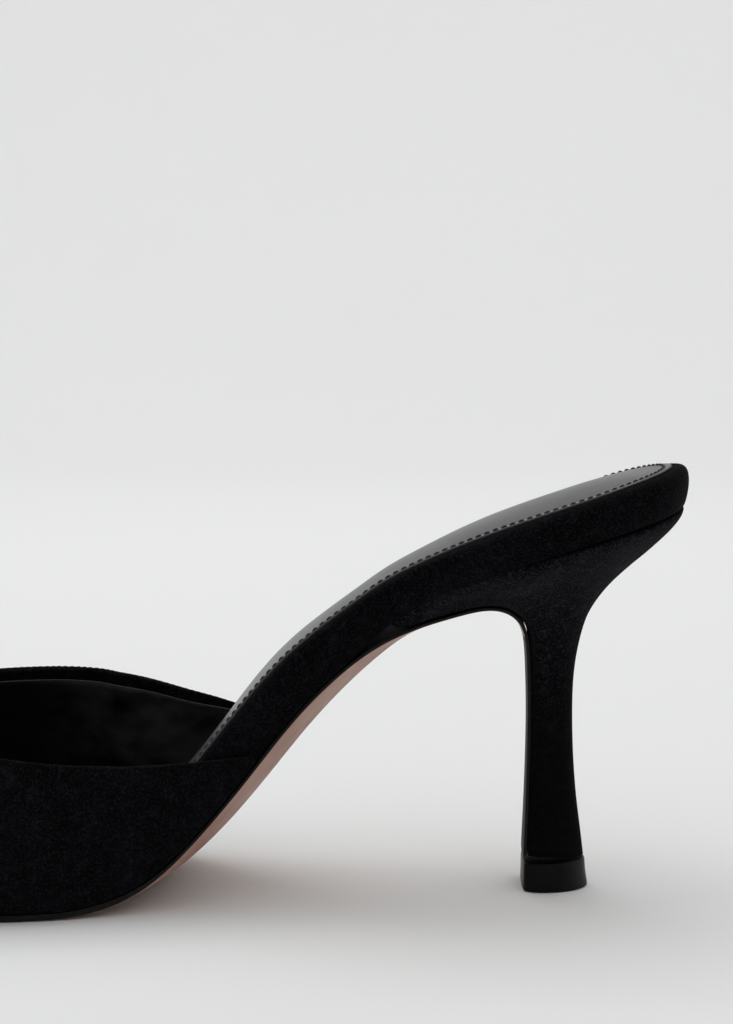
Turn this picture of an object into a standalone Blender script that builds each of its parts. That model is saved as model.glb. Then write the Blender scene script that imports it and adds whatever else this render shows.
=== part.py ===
# Left heeled mule: closed velvet vamp, velvet-covered footbed and slim heel, thin leather sole.
# Metres, +Z up, toe towards -X, outer side of the foot towards -Y.
# The origin is on the floor, under the middle of the wear cap.
import math

import bmesh
import bpy
import numpy as np

# Driving dimensions in millimetres.
LENGTH = 226.8        # heel back to toe tip, along the floor
HEEL_HEIGHT = 85.4    # floor to the footbed's underside at its back end
BALL_WIDTH = 73.5     # sole width across the ball
REAR_X = 28.3         # back end of the footbed
TOE_X = REAR_X - LENGTH
TREAD_BACK = -107.0   # the flat tread runs between these two
TREAD_FRONT = -142.0
TOE_SPRING = 7.2      # rise of the sole's edge at the toe tip
TOE_SIDE = 6.5        # the toe tip lies this far to the inner side
TOE_JOIN = -134.0     # widest place, where the toe's outline starts
SEAT_JOIN = 4.0       # where the round seat's outline starts
SOLE = 1.7            # sole thickness under the ball
SHANK_SOLE = 0.65     # sole thickness at its edge along the shank
SOCK_LEATHER = 0.6    # sock thickness
GAP = 0.35            # play between pieces that meet
WALL = 1.8            # velvet, stiffener and lining of the vamp
FLARE_HEIGHT = 11.0   # height over which the sides lean outwards
CAP_HEIGHT = 6.6      # wear cap

# Upper face of the sole at its edge, from the tread up to the heel:
# share of the length from the heel back, share of the heel height.
SHANK = [
    (0.2086, 0.7471),
    (0.2306, 0.7377),
    (0.2571, 0.7190),
    (0.2835, 0.6920),
    (0.3056, 0.6593),
    (0.3320, 0.6054),
    (0.3585, 0.5398),
    (0.3849, 0.4625),
    (0.4114, 0.3724),
    (0.4378, 0.2845),
    (0.4643, 0.2026),
    (0.4907, 0.1311),
    (0.5172, 0.0785),
    (0.5437, 0.0468),
    (0.5745, 0.0263),
    (0.5966, 0.0199),
]
# Underside of the footbed over the heel: the same two shares.
SEAT = [
    (0.0000, 1.0000),
    (0.0454, 0.9649),
    (0.0895, 0.9309),
    (0.1336, 0.8934),
    (0.1808, 0.8536),
    (0.2271, 0.8080),
    (0.2601, 0.7670),
    (0.2791, 0.7330),
    (0.2967, 0.6920),
    (0.3144, 0.6499),
    (0.3320, 0.6054),
    (0.3585, 0.5398),
    (0.3849, 0.4625),
]
# The sole's flap round the corner and down the heel breast:
# share of the length, share of the height, half width as a share of the ball width, thickness.
FLAP = [
    (0.2571, 0.7190, 0.275, 0.65),
    (0.2306, 0.7377, 0.248, 0.68),
    (0.2086, 0.7494, 0.210, 0.72),
    (0.1953, 0.7529, 0.182, 0.76),
    (0.1821, 0.7494, 0.155, 0.80),
    (0.1702, 0.7365, 0.129, 0.80),
    (0.1601, 0.7131, 0.109, 0.80),
    (0.1534, 0.6756, 0.091, 0.80),
    (0.1508, 0.6206, 0.078, 0.80),
    (0.1495, 0.5386, 0.065, 0.80),
    (0.1490, 0.4684, 0.060, 0.80),
    (0.1493, 0.3747, 0.059, 0.80),
    (0.1504, 0.2576, 0.064, 0.80),
    (0.1517, 0.1639, 0.072, 0.80),
    (0.1530, 0.0867, 0.080, 0.80),
]
# Plan of the sole's edge: share of the length, outer and inner half width as shares of the ball width.
PLAN = [
    (0.1071, 0.3306, 0.3306),
    (0.1468, 0.3333, 0.3306),
    (0.1909, 0.3224, 0.3129),
    (0.2350, 0.3048, 0.2857),
    (0.2791, 0.2898, 0.2571),
    (0.3232, 0.2844, 0.2354),
    (0.3673, 0.2925, 0.2299),
    (0.4114, 0.3156, 0.2476),
    (0.4555, 0.3469, 0.2898),
    (0.4996, 0.3810, 0.3442),
    (0.5437, 0.4136, 0.4000),
    (0.5877, 0.4463, 0.4490),
    (0.6539, 0.4830, 0.4952),
    (0.7156, 0.4925, 0.5075),
]
# Section of the bed along the foot: x, footbed thickness, outward lean of the sides, belly of the
# footbed, belly of the sole's upper face and of its underside, drop of the inner edge below the outer.
BED = [
    (-198.5, 3.0, 0.8, 0.0, 0.0, 0.0, 0.0),
    (-160.0, 3.2, 1.8, 0.0, 0.0, 0.0, 0.0),
    (-125.0, 3.6, 2.4, 0.0, 0.0, 0.0, 0.0),
    (-110.0, 4.3, 2.6, 0.0, 0.0, 0.0, 0.0),
    (-100.0, 5.7, 2.8, 0.3, 0.3, 0.6, 0.0),
    (-92.0, 7.4, 3.0, 0.8, 0.8, 2.2, 0.2),
    (-85.0, 8.4, 3.4, 1.1, 1.1, 3.5, 0.5),
    (-77.0, 9.0, 3.8, 1.1, 1.1, 4.1, 0.9),
    (-66.0, 9.35, 4.2, 1.2, 1.2, 4.15, 1.3),
    (-55.0, 9.5, 4.2, 1.3, 1.3, 4.2, 1.5),
    (-47.0, 9.35, 4.1, 1.1, 1.1, 3.85, 1.4),
    (-40.0, 8.35, 3.9, 0.6, 0.9, 3.3, 0.9),
    (-31.0, 7.45, 3.4, 0.0, 0.5, 1.65, 0.2),
    (-20.0, 7.45, 2.7, 0.0, 0.2, 0.9, 0.0),
    (-10.0, 7.75, 2.0, 0.0, 0.0, 0.3, 0.0),
    (8.0, 8.15, 1.4, 0.0, 0.0, 0.3, 0.0),
    (28.3, 8.8, 1.2, 0.0, 0.0, 0.3, 0.0),
]
# Top of the footbed along the foot: x, crown at the middle, fall from the outer to the inner edge.
TOP = [
    (-100.0, 0.0, 0.0),
    (-92.0, 0.2, 0.2),
    (-85.0, 0.6, 0.5),
    (-77.0, 0.95, 0.9),
    (-66.0, 1.2, 1.3),
    (-55.0, 1.65, 1.5),
    (-47.0, 1.8, 2.0),
    (-40.0, 1.8, 2.6),
    (-33.0, 1.8, 2.7),
    (-26.0, 1.8, 2.4),
    (-20.0, 2.0, 1.9),
    (-8.0, 2.3, 1.3),
    (0.0, 2.3, 1.1),
    (8.0, 2.2, 0.9),
    (14.0, 1.8, 0.6),
    (20.0, 1.0, 0.25),
    (28.3, 0.4, 0.0),
]
# Topline height against x on the outer and on the inner side.
TOPLINE = [
    (-170.0, 39.6, 40.4),
    (-154.0, 39.4, 41.0),
    (-144.0, 38.6, 42.2),
    (-132.0, 36.6, 43.2),
    (-118.0, 34.3, 43.6),
    (-105.0, 32.5, 43.3),
    (-94.0, 31.8, 41.8),
    (-84.0, 32.1, 39.3),
    (-76.0, 32.8, 37.4),
    (-64.0, 33.5, 33.9),
    (-50.0, 33.9, 33.9),
]
# Vamp columns from the sole's edge up towards the instep's ridge:
# x at the edge, x of the ridge, height of the ridge above the sole, roundness.
VAMP = [
    (-198.5, -125.0, 49.0, 1.38),
    (-180.0, -123.0, 50.0, 1.48),
    (-160.0, -120.0, 52.0, 1.75),
    (-140.0, -116.0, 55.0, 2.10),
    (-120.0, -108.0, 58.0, 2.30),
    (-105.0, -100.0, 60.0, 2.30),
    (-90.0, -90.0, 60.0, 2.30),
    (-60.0, -60.0, 60.0, 2.30),
]
# Heel sections from the cap up: front x and z on the breast, back x and z, half width,
# share of the seat's plan in the outline, upward bow along the foot.
HEEL = [
    (-6.3, 6.9, 6.5, 6.9, 7.70, 0.00, 0.0),
    (-6.1, 12.0, 5.9, 12.0, 7.00, 0.00, 0.0),
    (-5.7, 20.0, 4.75, 20.0, 6.20, 0.00, 0.0),
    (-5.5, 30.0, 3.95, 30.0, 5.75, 0.00, 0.0),
    (-5.5, 40.0, 3.7, 40.0, 5.65, 0.00, 0.0),
    (-5.6, 46.5, 3.9, 47.5, 5.85, 0.00, 0.0),
    (-5.9, 52.5, 4.75, 53.5, 6.40, 0.00, 0.0),
    (-6.2, 56.6, 6.1, 58.9, 7.25, 0.00, 0.0),
    (-6.9, 59.0, 7.3, 61.9, 8.10, 0.02, 0.0),
    (-7.9, 60.8, 9.1, 64.7, 9.30, 0.06, 0.1),
    (-9.0, 62.0, 10.8, 66.9, 10.50, 0.12, 0.2),
    (-10.4, 63.0, 12.6, 68.9, 11.80, 0.20, 0.4),
    (-12.4, 63.8, 14.8, 71.0, 13.50, 0.31, 0.7),
    (-15.0, 64.2, 17.0, 73.0, 15.30, 0.42, 1.0),
    (-18.0, 64.1, 19.3, 74.9, 17.10, 0.53, 1.4),
    (-21.0, 63.7, 21.4, 76.8, 18.80, 0.64, 1.8),
    (-28.0, 62.1, 25.2, 80.4, 21.70, 0.84, 2.7),
    (-34.0, 60.0, 27.7, 83.5, 23.80, 0.96, 3.5),
]
# Plan of the lower heel and its cap: share from front to back, share of the half width.
HORSESHOE = [
    (0.00, 0.74),
    (0.04, 0.85),
    (0.09, 0.92),
    (0.16, 0.97),
    (0.27, 1.00),
    (0.40, 0.98),
    (0.53, 0.93),
    (0.66, 0.85),
    (0.78, 0.72),
    (0.88, 0.54),
    (0.95, 0.35),
    (0.985, 0.19),
]
# Bow of the heel's upper sections: share from front to back, share of the bow.
BOW = [
    (0.00, 0.00),
    (0.06, 0.63),
    (0.12, 0.92),
    (0.22, 1.00),
    (0.39, 0.93),
    (0.58, 0.72),
    (0.74, 0.50),
    (0.87, 0.26),
    (1.00, 0.00),
]


def spline(rows, column, start=None, end=None):
    """Cubic through one column of a table; start and end are slopes, free when left out."""
    rows = sorted(rows)
    x = np.array([r[0] for r in rows])
    y = np.array([r[column] for r in rows])
    n = len(x)
    h = np.diff(x)
    m = np.zeros((n, n))
    v = np.zeros(n)
    for i in range(1, n - 1):
        m[i, i - 1:i + 2] = h[i - 1], 2 * (h[i - 1] + h[i]), h[i]
        v[i] = 6 * ((y[i + 1] - y[i]) / h[i] - (y[i] - y[i - 1]) / h[i - 1])
    m[0, 0] = m[-1, -1] = 1
    if start is not None:
        m[0, :2] = 2 * h[0], h[0]
        v[0] = 6 * ((y[1] - y[0]) / h[0] - start)
    if end is not None:
        m[-1, -2:] = h[-1], 2 * h[-1]
        v[-1] = 6 * (end - (y[-1] - y[-2]) / h[-1])
    k = np.linalg.solve(m, v)

    def curve(at):
        at = np.asarray(at, float)
        i = np.clip(np.searchsorted(x, at) - 1, 0, n - 2)
        a = (x[i + 1] - at) / h[i]
        b = 1 - a
        bend = ((a ** 3 - a) * k[i] + (b ** 3 - b) * k[i + 1]) * h[i] ** 2 / 6
        inside = a * y[i] + b * y[i + 1] + bend
        return np.where(at < x[0], y[0], np.where(at > x[-1], y[-1], inside))
    return curve


def line(rows, column):
    """Straight lines through one column of a table."""
    rows = sorted(rows)
    x = [r[0] for r in rows]
    y = [r[column] for r in rows]
    return lambda at: np.interp(at, x, y)


def soft(low, high, at):
    """Smooth step from 0 at low to 1 at high."""
    t = np.clip((np.asarray(at, float) - low) / (high - low), 0, 1)
    return t * t * (3 - 2 * t)


def along(rows):
    """Turns a table's first two shares into millimetres."""
    return [(REAR_X - r[0] * LENGTH, r[1] * HEEL_HEIGHT) + tuple(r[2:]) for r in rows]


shank_curve = spline(along(SHANK), 1, start=0.0)
seat_curve = spline(along(SEAT), 1)
plan_rows = [(REAR_X - b * LENGTH, o * BALL_WIDTH, i * BALL_WIDTH) for b, o, i in PLAN]
outer_width = spline(plan_rows, 1)
inner_width = spline(plan_rows, 2)
bed_thickness = spline(BED, 1)
side_lean = spline(BED, 2)
bed_belly = line(BED, 3)
sole_belly = line(BED, 4)
under_belly = spline(BED, 5)
bed_roll = line(BED, 6)
top_crown = spline(TOP, 1)
top_fall = spline(TOP, 2)


def sole_z(x):
    toe = np.clip((TREAD_FRONT - x) / (TREAD_FRONT - TOE_X), 0, 1.1)
    return np.where(x < TREAD_BACK, SOLE + TOE_SPRING * toe ** 2, shank_curve(x))


def bed_z(x):
    share = soft(-53, -47, x)
    return sole_z(x) * (1 - share) + seat_curve(x) * share


class Path:
    """A bent line in the shoe's long plane, with the direction in which heights are taken."""

    def __init__(self, p, x, z, angle):
        self.p, self.x, self.z, self.angle = p, x, z, angle

    def place(self, p, y, h):
        a = np.interp(p, self.p, self.angle)
        x = np.interp(p, self.p, self.x) - h * np.sin(a)
        z = np.interp(p, self.p, self.z) + h * np.cos(a) - bed_roll(p) * (y + 21) / 42
        return np.stack([x, y + 0 * x, z], -1)

    def nearest(self, x, z):
        return self.p[np.argmin((self.x - x) ** 2 + (self.z - z) ** 2)]


def averaged(values, half):
    """Running mean over 2 * half + 1 samples."""
    padded = np.pad(values, half, mode="edge")
    return np.convolve(padded, np.ones(2 * half + 1) / (2 * half + 1), "valid")


STEP = 0.25
grid = np.arange(TOE_X - 4, REAR_X + 4, STEP)
forward = soft(-150, -118, grid)
bed_angle = averaged(np.arctan(np.gradient(bed_z(grid), STEP)), 56) * forward
upright = 1 - soft(-14, 24, grid)
last = Path(grid, grid, bed_z(grid), bed_angle * upright)

# The sole follows the bed's line to the heel lip and then its own corner and flap.
flap_rows = along(FLAP)
steps = [0.0]
for a, b in zip(flap_rows, flap_rows[1:]):
    steps.append(steps[-1] + math.hypot(b[0] - a[0], b[1] - a[1]))
FLAP_START = flap_rows[0][0]
flap_at = [(FLAP_START + s, r[0], r[1], r[2] * BALL_WIDTH, r[3]) for s, r in zip(steps, flap_rows)]
FLAP_END = flap_at[-1][0]
shank_grid = np.arange(TOE_X - 4, FLAP_START, STEP)
flap_grid = np.arange(FLAP_START, FLAP_END + 1, STEP)
start_slope = float(np.gradient(shank_curve(flap_grid[:2]), STEP)[0])
stretch = math.hypot(1, start_slope)
flap_x = spline(flap_at, 1, start=1 / stretch)
flap_z = spline(flap_at, 2, start=start_slope / stretch)
sole_p = np.concatenate([shank_grid, flap_grid])
sole_x = np.concatenate([shank_grid, flap_x(flap_grid)])
sole_h = np.concatenate([sole_z(shank_grid), flap_z(flap_grid)])
close = averaged(np.unwrap(np.arctan2(np.gradient(sole_h), np.gradient(sole_x))), 5)
wide = np.interp(sole_p, grid, bed_angle)
turn = soft(-47, -36, sole_p)
sole = Path(sole_p, sole_x, sole_h, wide * (1 - turn) + close * turn)
flap_width = spline(flap_at, 3)
flap_thick = spline(flap_at, 4)


def sole_thickness(p):
    """Thickness at the edge: full under the ball, skived thin along the shank and the flap."""
    shank = SOLE + (SHANK_SOLE - SOLE) * soft(-100, -79, p)
    return shank + (flap_thick(p) - shank) * soft(-50, -30, p)


def edge(x, inset, side):
    """Signed half width of the bed at x, drawn in by inset; side is -1 outer, 1 inner."""
    width = outer_width if side < 0 else inner_width
    tip = TOE_X + inset
    rear = REAR_X - inset
    straight = side * (width(np.clip(x, TOE_JOIN, SEAT_JOIN)) - inset)
    toe = np.clip((TOE_JOIN - x) / (TOE_JOIN - tip), 0, 1)
    seat = np.clip((x - SEAT_JOIN) / (rear - SEAT_JOIN), 0, 1)
    pointed = (1 - toe ** 2) ** (1 / 1.55)
    rounded = (1 - seat ** 2) ** 0.5
    y = TOE_SIDE + (straight - TOE_SIDE) * pointed
    return np.where(x < TOE_JOIN, y, straight * rounded)


def toe_stations(inset, count):
    t = np.sin(np.linspace(0, math.pi / 2, count + 1))[1:-1]
    return TOE_JOIN - (TOE_JOIN - TOE_X - inset) * t


def seat_stations(inset, count):
    t = np.sin(np.linspace(0, math.pi / 2, count + 1))[1:-1]
    return SEAT_JOIN + (REAR_X - inset - SEAT_JOIN) * t[::-1]


def solid(name, points, faces, colour, roughness):
    """One closed body from points in millimetres."""
    mesh = bpy.data.meshes.new(name)
    mesh.from_pydata([tuple(float(c) * 0.001 for c in p) for p in points], [], faces)
    shaped = bmesh.new()
    shaped.from_mesh(mesh)
    bmesh.ops.recalc_face_normals(shaped, faces=shaped.faces)
    bmesh.ops.triangulate(shaped, faces=shaped.faces)
    shaped.to_mesh(mesh)
    shaped.free()
    for polygon in mesh.polygons:
        polygon.use_smooth = True
    item = bpy.data.objects.new(name, mesh)
    bpy.context.collection.objects.link(item)
    material = bpy.data.materials.new(name)
    material.use_nodes = True
    shader = material.node_tree.nodes["Principled BSDF"]
    shader.inputs["Base Color"].default_value = (*colour, 1)
    shader.inputs["Roughness"].default_value = roughness
    shader.inputs["Metallic"].default_value = 0.0
    mesh.materials.append(material)
    return item


def band(faces, first, second):
    """Joins two rings of point numbers with one row of faces."""
    for i in range(len(first)):
        j = (i + 1) % len(first)
        faces.append((first[i], first[j], second[j], second[i]))


def fill(faces, rows, ends):
    """Closes a ring with its cross rows and the single points beyond the first and last row."""
    for a, b in zip(rows, rows[1:]):
        for i in range(len(a) - 1):
            faces.append((a[i], a[i + 1], b[i + 1], b[i]))
    for row, tip in ((rows[0], ends[0]), (rows[-1], ends[1])):
        if tip is not None:
            for i in range(len(row) - 1):
                faces.append((row[i], row[i + 1], tip))


def plate(name, path, rings, across, colour, roughness):
    """A closed layer from rings of (stations, outer y, inner y, rear, tip, height)."""
    points, faces, numbers = [], [], []
    for stations, outer, inner, rear, tip, height in rings:
        flat = list(zip(stations, outer))
        if tip is not None:
            flat.append((tip, TOE_SIDE))
        flat += list(zip(stations, inner))[::-1]
        if rear is not None:
            flat.insert(0, (rear, 0.0))
        else:
            flat += [(stations[0], y) for y in np.linspace(inner[0], outer[0], across + 2)[1:-1]]
        p, y = np.array(flat).T
        start = len(points)
        points += list(path.place(p, y, height(p, y)))
        numbers.append(list(range(start, len(points))))
    for a, b in zip(numbers, numbers[1:]):
        band(faces, a, b)
    for ring, number in ((rings[0], numbers[0]), (rings[-1], numbers[-1])):
        stations, outer, inner, rear, tip, height = ring
        first = 0 if rear is None else 1
        final = 2 * len(stations) + 1
        rows = []
        if rear is None:
            rows.append([number[0], *number[:final - 1:-1], number[final - 1]])
        for i, p in enumerate(stations):
            if i < len(rows):
                continue
            y = np.linspace(outer[i], inner[i], across + 2)[1:-1]
            start = len(points)
            points += list(path.place(np.full(across, p), y, height(p, y)))
            rows.append([number[first + i], *range(start, len(points)), number[final + first - 1 - i]])
        ends = (number[0] if rear is not None else None,
                number[first + len(stations)] if tip is not None else None)
        fill(faces, rows, ends)
    return solid(name, points, faces, colour, roughness)


def belly(depth, x, y, inset=0.0):
    """Downward bulge at y of a layer whose bulge at the middle is depth."""
    half = np.where(y < 0, outer_width(x), inner_width(x)) - inset
    return depth(x) * np.clip(1 - (y / half) ** 2, 0, 1)


def top_shape(x, y):
    """Rise of the footbed's top over its edge: a crown across, falling towards the inner side."""
    return belly(top_crown, x, y) - top_fall(x) * (y + 21) / 42


for item in list(bpy.data.objects):
    bpy.data.objects.remove(item, do_unlink=True)

# Stations that the sole and the footbed share from the heel lip to the widest place.
COMMON = [-46, -50, -54, -58, -62, -65.5, -69, -72.5, -76, -79.5, -83, -86.5, -90, -93.5, -97.5,
          -102, -107, -116, -125, -134]

# Outsole: thin leather from the toe tip up the shank, round the corner, down the heel breast.
breast = [float(sole.nearest(row[0], row[1])) for row in HEEL[1:]] + [-37.6]
breast_part = [FLAP_END, *breast]


def sole_half(p, side, inset):
    wide_part = edge(p, inset, side)
    share = soft(-36, -29, p)
    return wide_part * (1 - share) + side * (flap_width(p) - inset) * share


def sole_ring(inset, depth):
    stations = np.concatenate([breast_part, [-42.0], COMMON, toe_stations(inset, 13)])
    stations[0] -= inset
    outer = sole_half(stations, -1, inset)
    inner = sole_half(stations, 1, inset)

    def height(p, y):
        half = np.abs(np.where(y < 0, sole_half(p, -1, 0.0), sole_half(p, 1, 0.0)))
        toe_side = np.where(p < TOE_JOIN, 0, y)
        at = np.minimum(p, -10)
        bulge = sole_belly(at) * (1 - depth) + under_belly(at) * depth
        return -bulge * np.clip(1 - (toe_side / half) ** 2, 0, 1) - sole_thickness(p) * depth
    return stations, outer, inner, None, TOE_X + inset, height


plate("outsole", sole,
      [sole_ring(0.8, 0.0), sole_ring(0.3, 0.15), sole_ring(0.35, 0.78), sole_ring(0.9, 1.0)],
      5, (0.30, 0.19, 0.14), 0.55)

# Footbed: padded board wrapped in velvet; inside the vamp it is drawn in by the wall.
seat_list = [SEAT_JOIN, -4, -12, -20, -26, -31, -34.5, -38, -42]


def tucked(x):
    return 0.15 + (WALL + 0.75) * (1 - soft(-69, -58.5, x)) + 0.8 * (1 - soft(-175, -135, x))


def lean(x, h):
    return side_lean(x) * (1 - (1 - np.clip(h / FLARE_HEIGHT, 0, 1)) ** 2)


def bed_ring(drawn, share, stations_of=None):
    """Ring of the footbed; drawn is its rounding inwards, share its height within the thickness."""
    def inset(x):
        return tucked(x) + drawn * np.minimum(1, bed_thickness(x) / 8) - lean(x, share * bed_thickness(x))
    stations = np.concatenate([seat_stations(float(inset(REAR_X)), 9), seat_list, COMMON,
                               toe_stations(float(inset(TOE_X)), 11)])
    outer = np.array([edge(x, inset(x), -1) for x in stations])
    inner = np.array([edge(x, inset(x), 1) for x in stations])

    def height(x, y):
        base = GAP * (1 - soft(-43, -34, x))
        toe_side = np.where(x < TOE_JOIN, 0, y)
        low = base - belly(bed_belly, x, toe_side) * (1 - share) ** 2
        return low + share * (bed_thickness(x) - base + top_shape(x, y))
    return (stations, outer, inner, REAR_X - float(inset(REAR_X)), TOE_X + float(inset(TOE_X)), height)


plate("footbed", last,
      [bed_ring(1.0, 0.0), bed_ring(0.25, 0.07), bed_ring(0.0, 0.3), bed_ring(0.05, 0.6),
       bed_ring(0.5, 0.83), bed_ring(1.4, 0.95), bed_ring(2.8, 1.0)],
      7, (0.012, 0.012, 0.016), 0.9)

# Sock: smooth leather on the footbed, stopping short of its rounded rim.
def sock_ring(drawn, rise):
    def inset(x):
        return tucked(x) + 3.6 + drawn - lean(x, bed_thickness(x)) - 1.0 * (1 - soft(-95, -75, x))
    stations = np.concatenate([seat_stations(float(inset(REAR_X)), 9), seat_list, COMMON,
                               toe_stations(float(inset(TOE_X)), 11)])
    outer = np.array([edge(x, inset(x), -1) for x in stations])
    inner = np.array([edge(x, inset(x), 1) for x in stations])

    def height(x, y):
        return bed_thickness(x) + top_shape(x, y) + GAP + rise * SOCK_LEATHER
    return (stations, outer, inner, REAR_X - float(inset(REAR_X)), TOE_X + float(inset(TOE_X)), height)


plate("sock", last,
      [sock_ring(0.2, 0.0), sock_ring(0.0, 0.55), sock_ring(0.25, 1.0)],
      7, (0.03, 0.03, 0.033), 0.38)

# Upper: one hollow shell, each column rising from the sole's edge towards the instep's ridge
# and ending at the topline.
ridge_x = spline(VAMP, 1)
ridge_h = spline(VAMP, 2)
roundness = line(VAMP, 3)
outer_top = spline(TOPLINE, 1)
inner_top = spline(TOPLINE, 2)
wing = [-64.6, -65.6, -67.0, -68.8, -71, -73.5, -76.5, -80.5, -85.5, -91, -97.5, -105, -114, -124, -134]
wing_part = np.concatenate([wing, toe_stations(0.0, 10)])
plan_line = [(x, float(edge(x, 0.0, -1))) for x in wing_part] + [(TOE_X, TOE_SIDE)]
plan_line += [(x, float(edge(x, 0.0, 1))) for x in wing_part[::-1]]
plan_line = np.array(plan_line)
tangent = np.gradient(plan_line, axis=0)
outward = np.stack([-tangent[:, 1], tangent[:, 0]], -1)
outward /= np.linalg.norm(outward, axis=1)[:, None]
outward *= np.sign(np.sum(outward * (plan_line - (-110.0, 2.0)), axis=1))[:, None]
ROWS = 11
phi = np.linspace(0, math.pi / 2, 400)
outer_shell = []
for (fx, fy), (nx, ny) in zip(plan_line, outward):
    power = 2 / roundness(fx)
    inwards = 1 - np.cos(phi).clip(0) ** power
    h = GAP + ridge_h(fx) * np.sin(phi) ** power
    out = lean(fx, h)
    px = fx + (ridge_x(fx) - fx) * inwards + nx * out
    py = fy + (3.0 - fy) * inwards + ny * out
    turn_up = np.interp(px, last.p, last.angle) * (1 - 0.65 * soft(3, 22, h))
    climb = np.diff(h, prepend=0.0)
    column = last.place(px, py, 0.0)
    column[:, 0] -= np.cumsum(climb * np.sin(turn_up))
    column[:, 2] += np.cumsum(climb * np.cos(turn_up))
    share = soft(-16, 20, column[:, 1])
    top = outer_top(column[:, 0]) * (1 - share) + inner_top(column[:, 0]) * share
    over = np.nonzero(column[:, 2] > top)[0]
    stop = max(int(over[0]) if len(over) else len(phi) - 1, 3)
    reach = np.concatenate([[0], np.cumsum(np.linalg.norm(np.diff(column[:stop + 1], axis=0), axis=1))])
    wanted = np.linspace(0, reach[-1], ROWS)
    outer_shell.append(np.stack([np.interp(wanted, reach, column[:stop + 1, c]) for c in range(3)], -1))
outer_shell = np.array(outer_shell)
across_way = np.gradient(outer_shell, axis=0)
up_way = np.gradient(outer_shell, axis=1)
facing = np.cross(across_way, up_way)
facing[:, 0, 2] = 0.0
facing /= np.linalg.norm(facing, axis=2)[:, :, None]
if np.sum(facing[10, 5] * np.array([0.0, -1.0, 0.0])) < 0:
    facing = -facing
wall = 0.9 + (WALL - 0.9) * (1 - soft(-77, -65, plan_line[:, 0]))
inner_shell = outer_shell - facing * wall[:, None, None]
rim = (outer_shell[:, -1] + inner_shell[:, -1]) / 2 + np.array([0, 0, 0.45])
loops = np.concatenate([outer_shell, rim[:, None], inner_shell[:, ::-1]], axis=1)
points = loops.reshape(-1, 3)
per = loops.shape[1]
faces = []
for i in range(len(loops) - 1):
    for j in range(per):
        k = (j + 1) % per
        faces.append((i * per + j, i * per + k, (i + 1) * per + k, (i + 1) * per + j))
for i in (0, len(loops) - 1):
    for j in range(ROWS - 1):
        faces.append((i * per + j, i * per + j + 1, i * per + per - 2 - j, i * per + per - 1 - j))
    faces.append((i * per + ROWS - 1, i * per + ROWS, i * per + ROWS + 1))
solid("upper", points, faces, (0.012, 0.012, 0.016), 0.9)

# Heel: tilted sections from the cap up to the seat, the front ones following the sole.
bow = spline(BOW, 1)
turns = [r[0] for r in HORSESHOE]
low_plan = np.array([r[1] for r in HORSESHOE])
front_cols = 3


def seat_share(t):
    """Half width of the seat's plan at share t from the lip to the back, over its widest."""
    x = -38.0 + np.asarray(t) * (REAR_X - 0.6 + 38.0)
    return -edge(x, 0.5, -1) / 24.0, edge(x, 0.5, 1) / 24.0


def heel_loop(row):
    fx, fz, bx, bz, half, share, rise = row
    p = sole.nearest(fx, fz)
    t = np.array(turns)
    outer_plan, inner_plan = seat_share(t)
    near = -half * ((1 - share) * low_plan + share * outer_plan)
    far = half * ((1 - share) * low_plan + share * inner_plan)
    front = sole.place(p, 0.0, GAP)
    x = front[0] + t * (bx - front[0])
    z = front[2] + t * (bz - front[2]) + rise * bow(t)
    inside = np.linspace(far[0], near[0], front_cols + 2)[1:-1]
    half_sole = np.abs(np.where(inside < 0, sole_half(p, -1, 0.0), sole_half(p, 1, 0.0)))
    bulge = sole_belly(min(p, -10.0)) * np.clip(1 - (inside / half_sole) ** 2, 0, 1)
    loop = [(a, b, c) for a, b, c in zip(x, near, z)]
    loop.append((bx, 0.0, bz))
    loop += [(a, b, c) for a, b, c in zip(x, far, z)][::-1]
    loop += [tuple(sole.place(p, y, GAP - d)) for y, d in zip(inside, bulge)]
    return loop


def seat_loop(inset, drop):
    t = np.array(turns)
    x = -37.6 + t * (REAR_X - inset + 37.6)
    near, far = edge(x, inset, -1), edge(x, inset, 1)

    def under(px, py):
        return tuple(last.place(px, py, -drop - belly(bed_belly, px, py)))
    loop = [under(a, b) for a, b in zip(x, near)]
    loop.append(under(REAR_X - inset, 0.0))
    loop += [under(a, b) for a, b in zip(x, far)][::-1]
    loop += [under(x[0], y) for y in np.linspace(far[0], near[0], front_cols + 2)[1:-1]]
    return loop


loops = [heel_loop(row) for row in HEEL] + [seat_loop(0.7, GAP)]
points, faces, numbers = [], [], []
for loop in loops:
    numbers.append(list(range(len(points), len(points) + len(loop))))
    points += loop
for a, b in zip(numbers, numbers[1:]):
    band(faces, a, b)
count = len(turns)
for number, loop, top in ((numbers[0], loops[0], False), (numbers[-1], loops[-1], True)):
    rows = [[number[0], *number[:2 * count:-1], number[2 * count]]]
    for i in range(1, count):
        a, b = np.array(loop[i]), np.array(loop[2 * count - i])
        row = [number[i]]
        for k in range(1, front_cols + 1):
            mid = a + (b - a) * k / (front_cols + 1)
            if top:
                px = -37.6 + turns[i] * (REAR_X - 0.7 + 37.6)
                mid = last.place(px, mid[1], -GAP - belly(bed_belly, px, mid[1]))
            row.append(len(points))
            points.append(tuple(mid))
        row.append(number[2 * count - i])
        rows.append(row)
    fill(faces, rows, (None, number[count]))
solid("heel", points, faces, (0.02, 0.02, 0.025), 0.9)

# Wear cap: a plain block with the heel end's horseshoe plan.
def cap_loop(front, back, half, z):
    t = np.array(turns)
    x = front + t * (back - front)
    y = half * low_plan
    loop = [(a, -b, z) for a, b in zip(x, y)] + [(back, 0.0, z)]
    return loop + [(a, b, z) for a, b in zip(x, y)][::-1]


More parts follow.
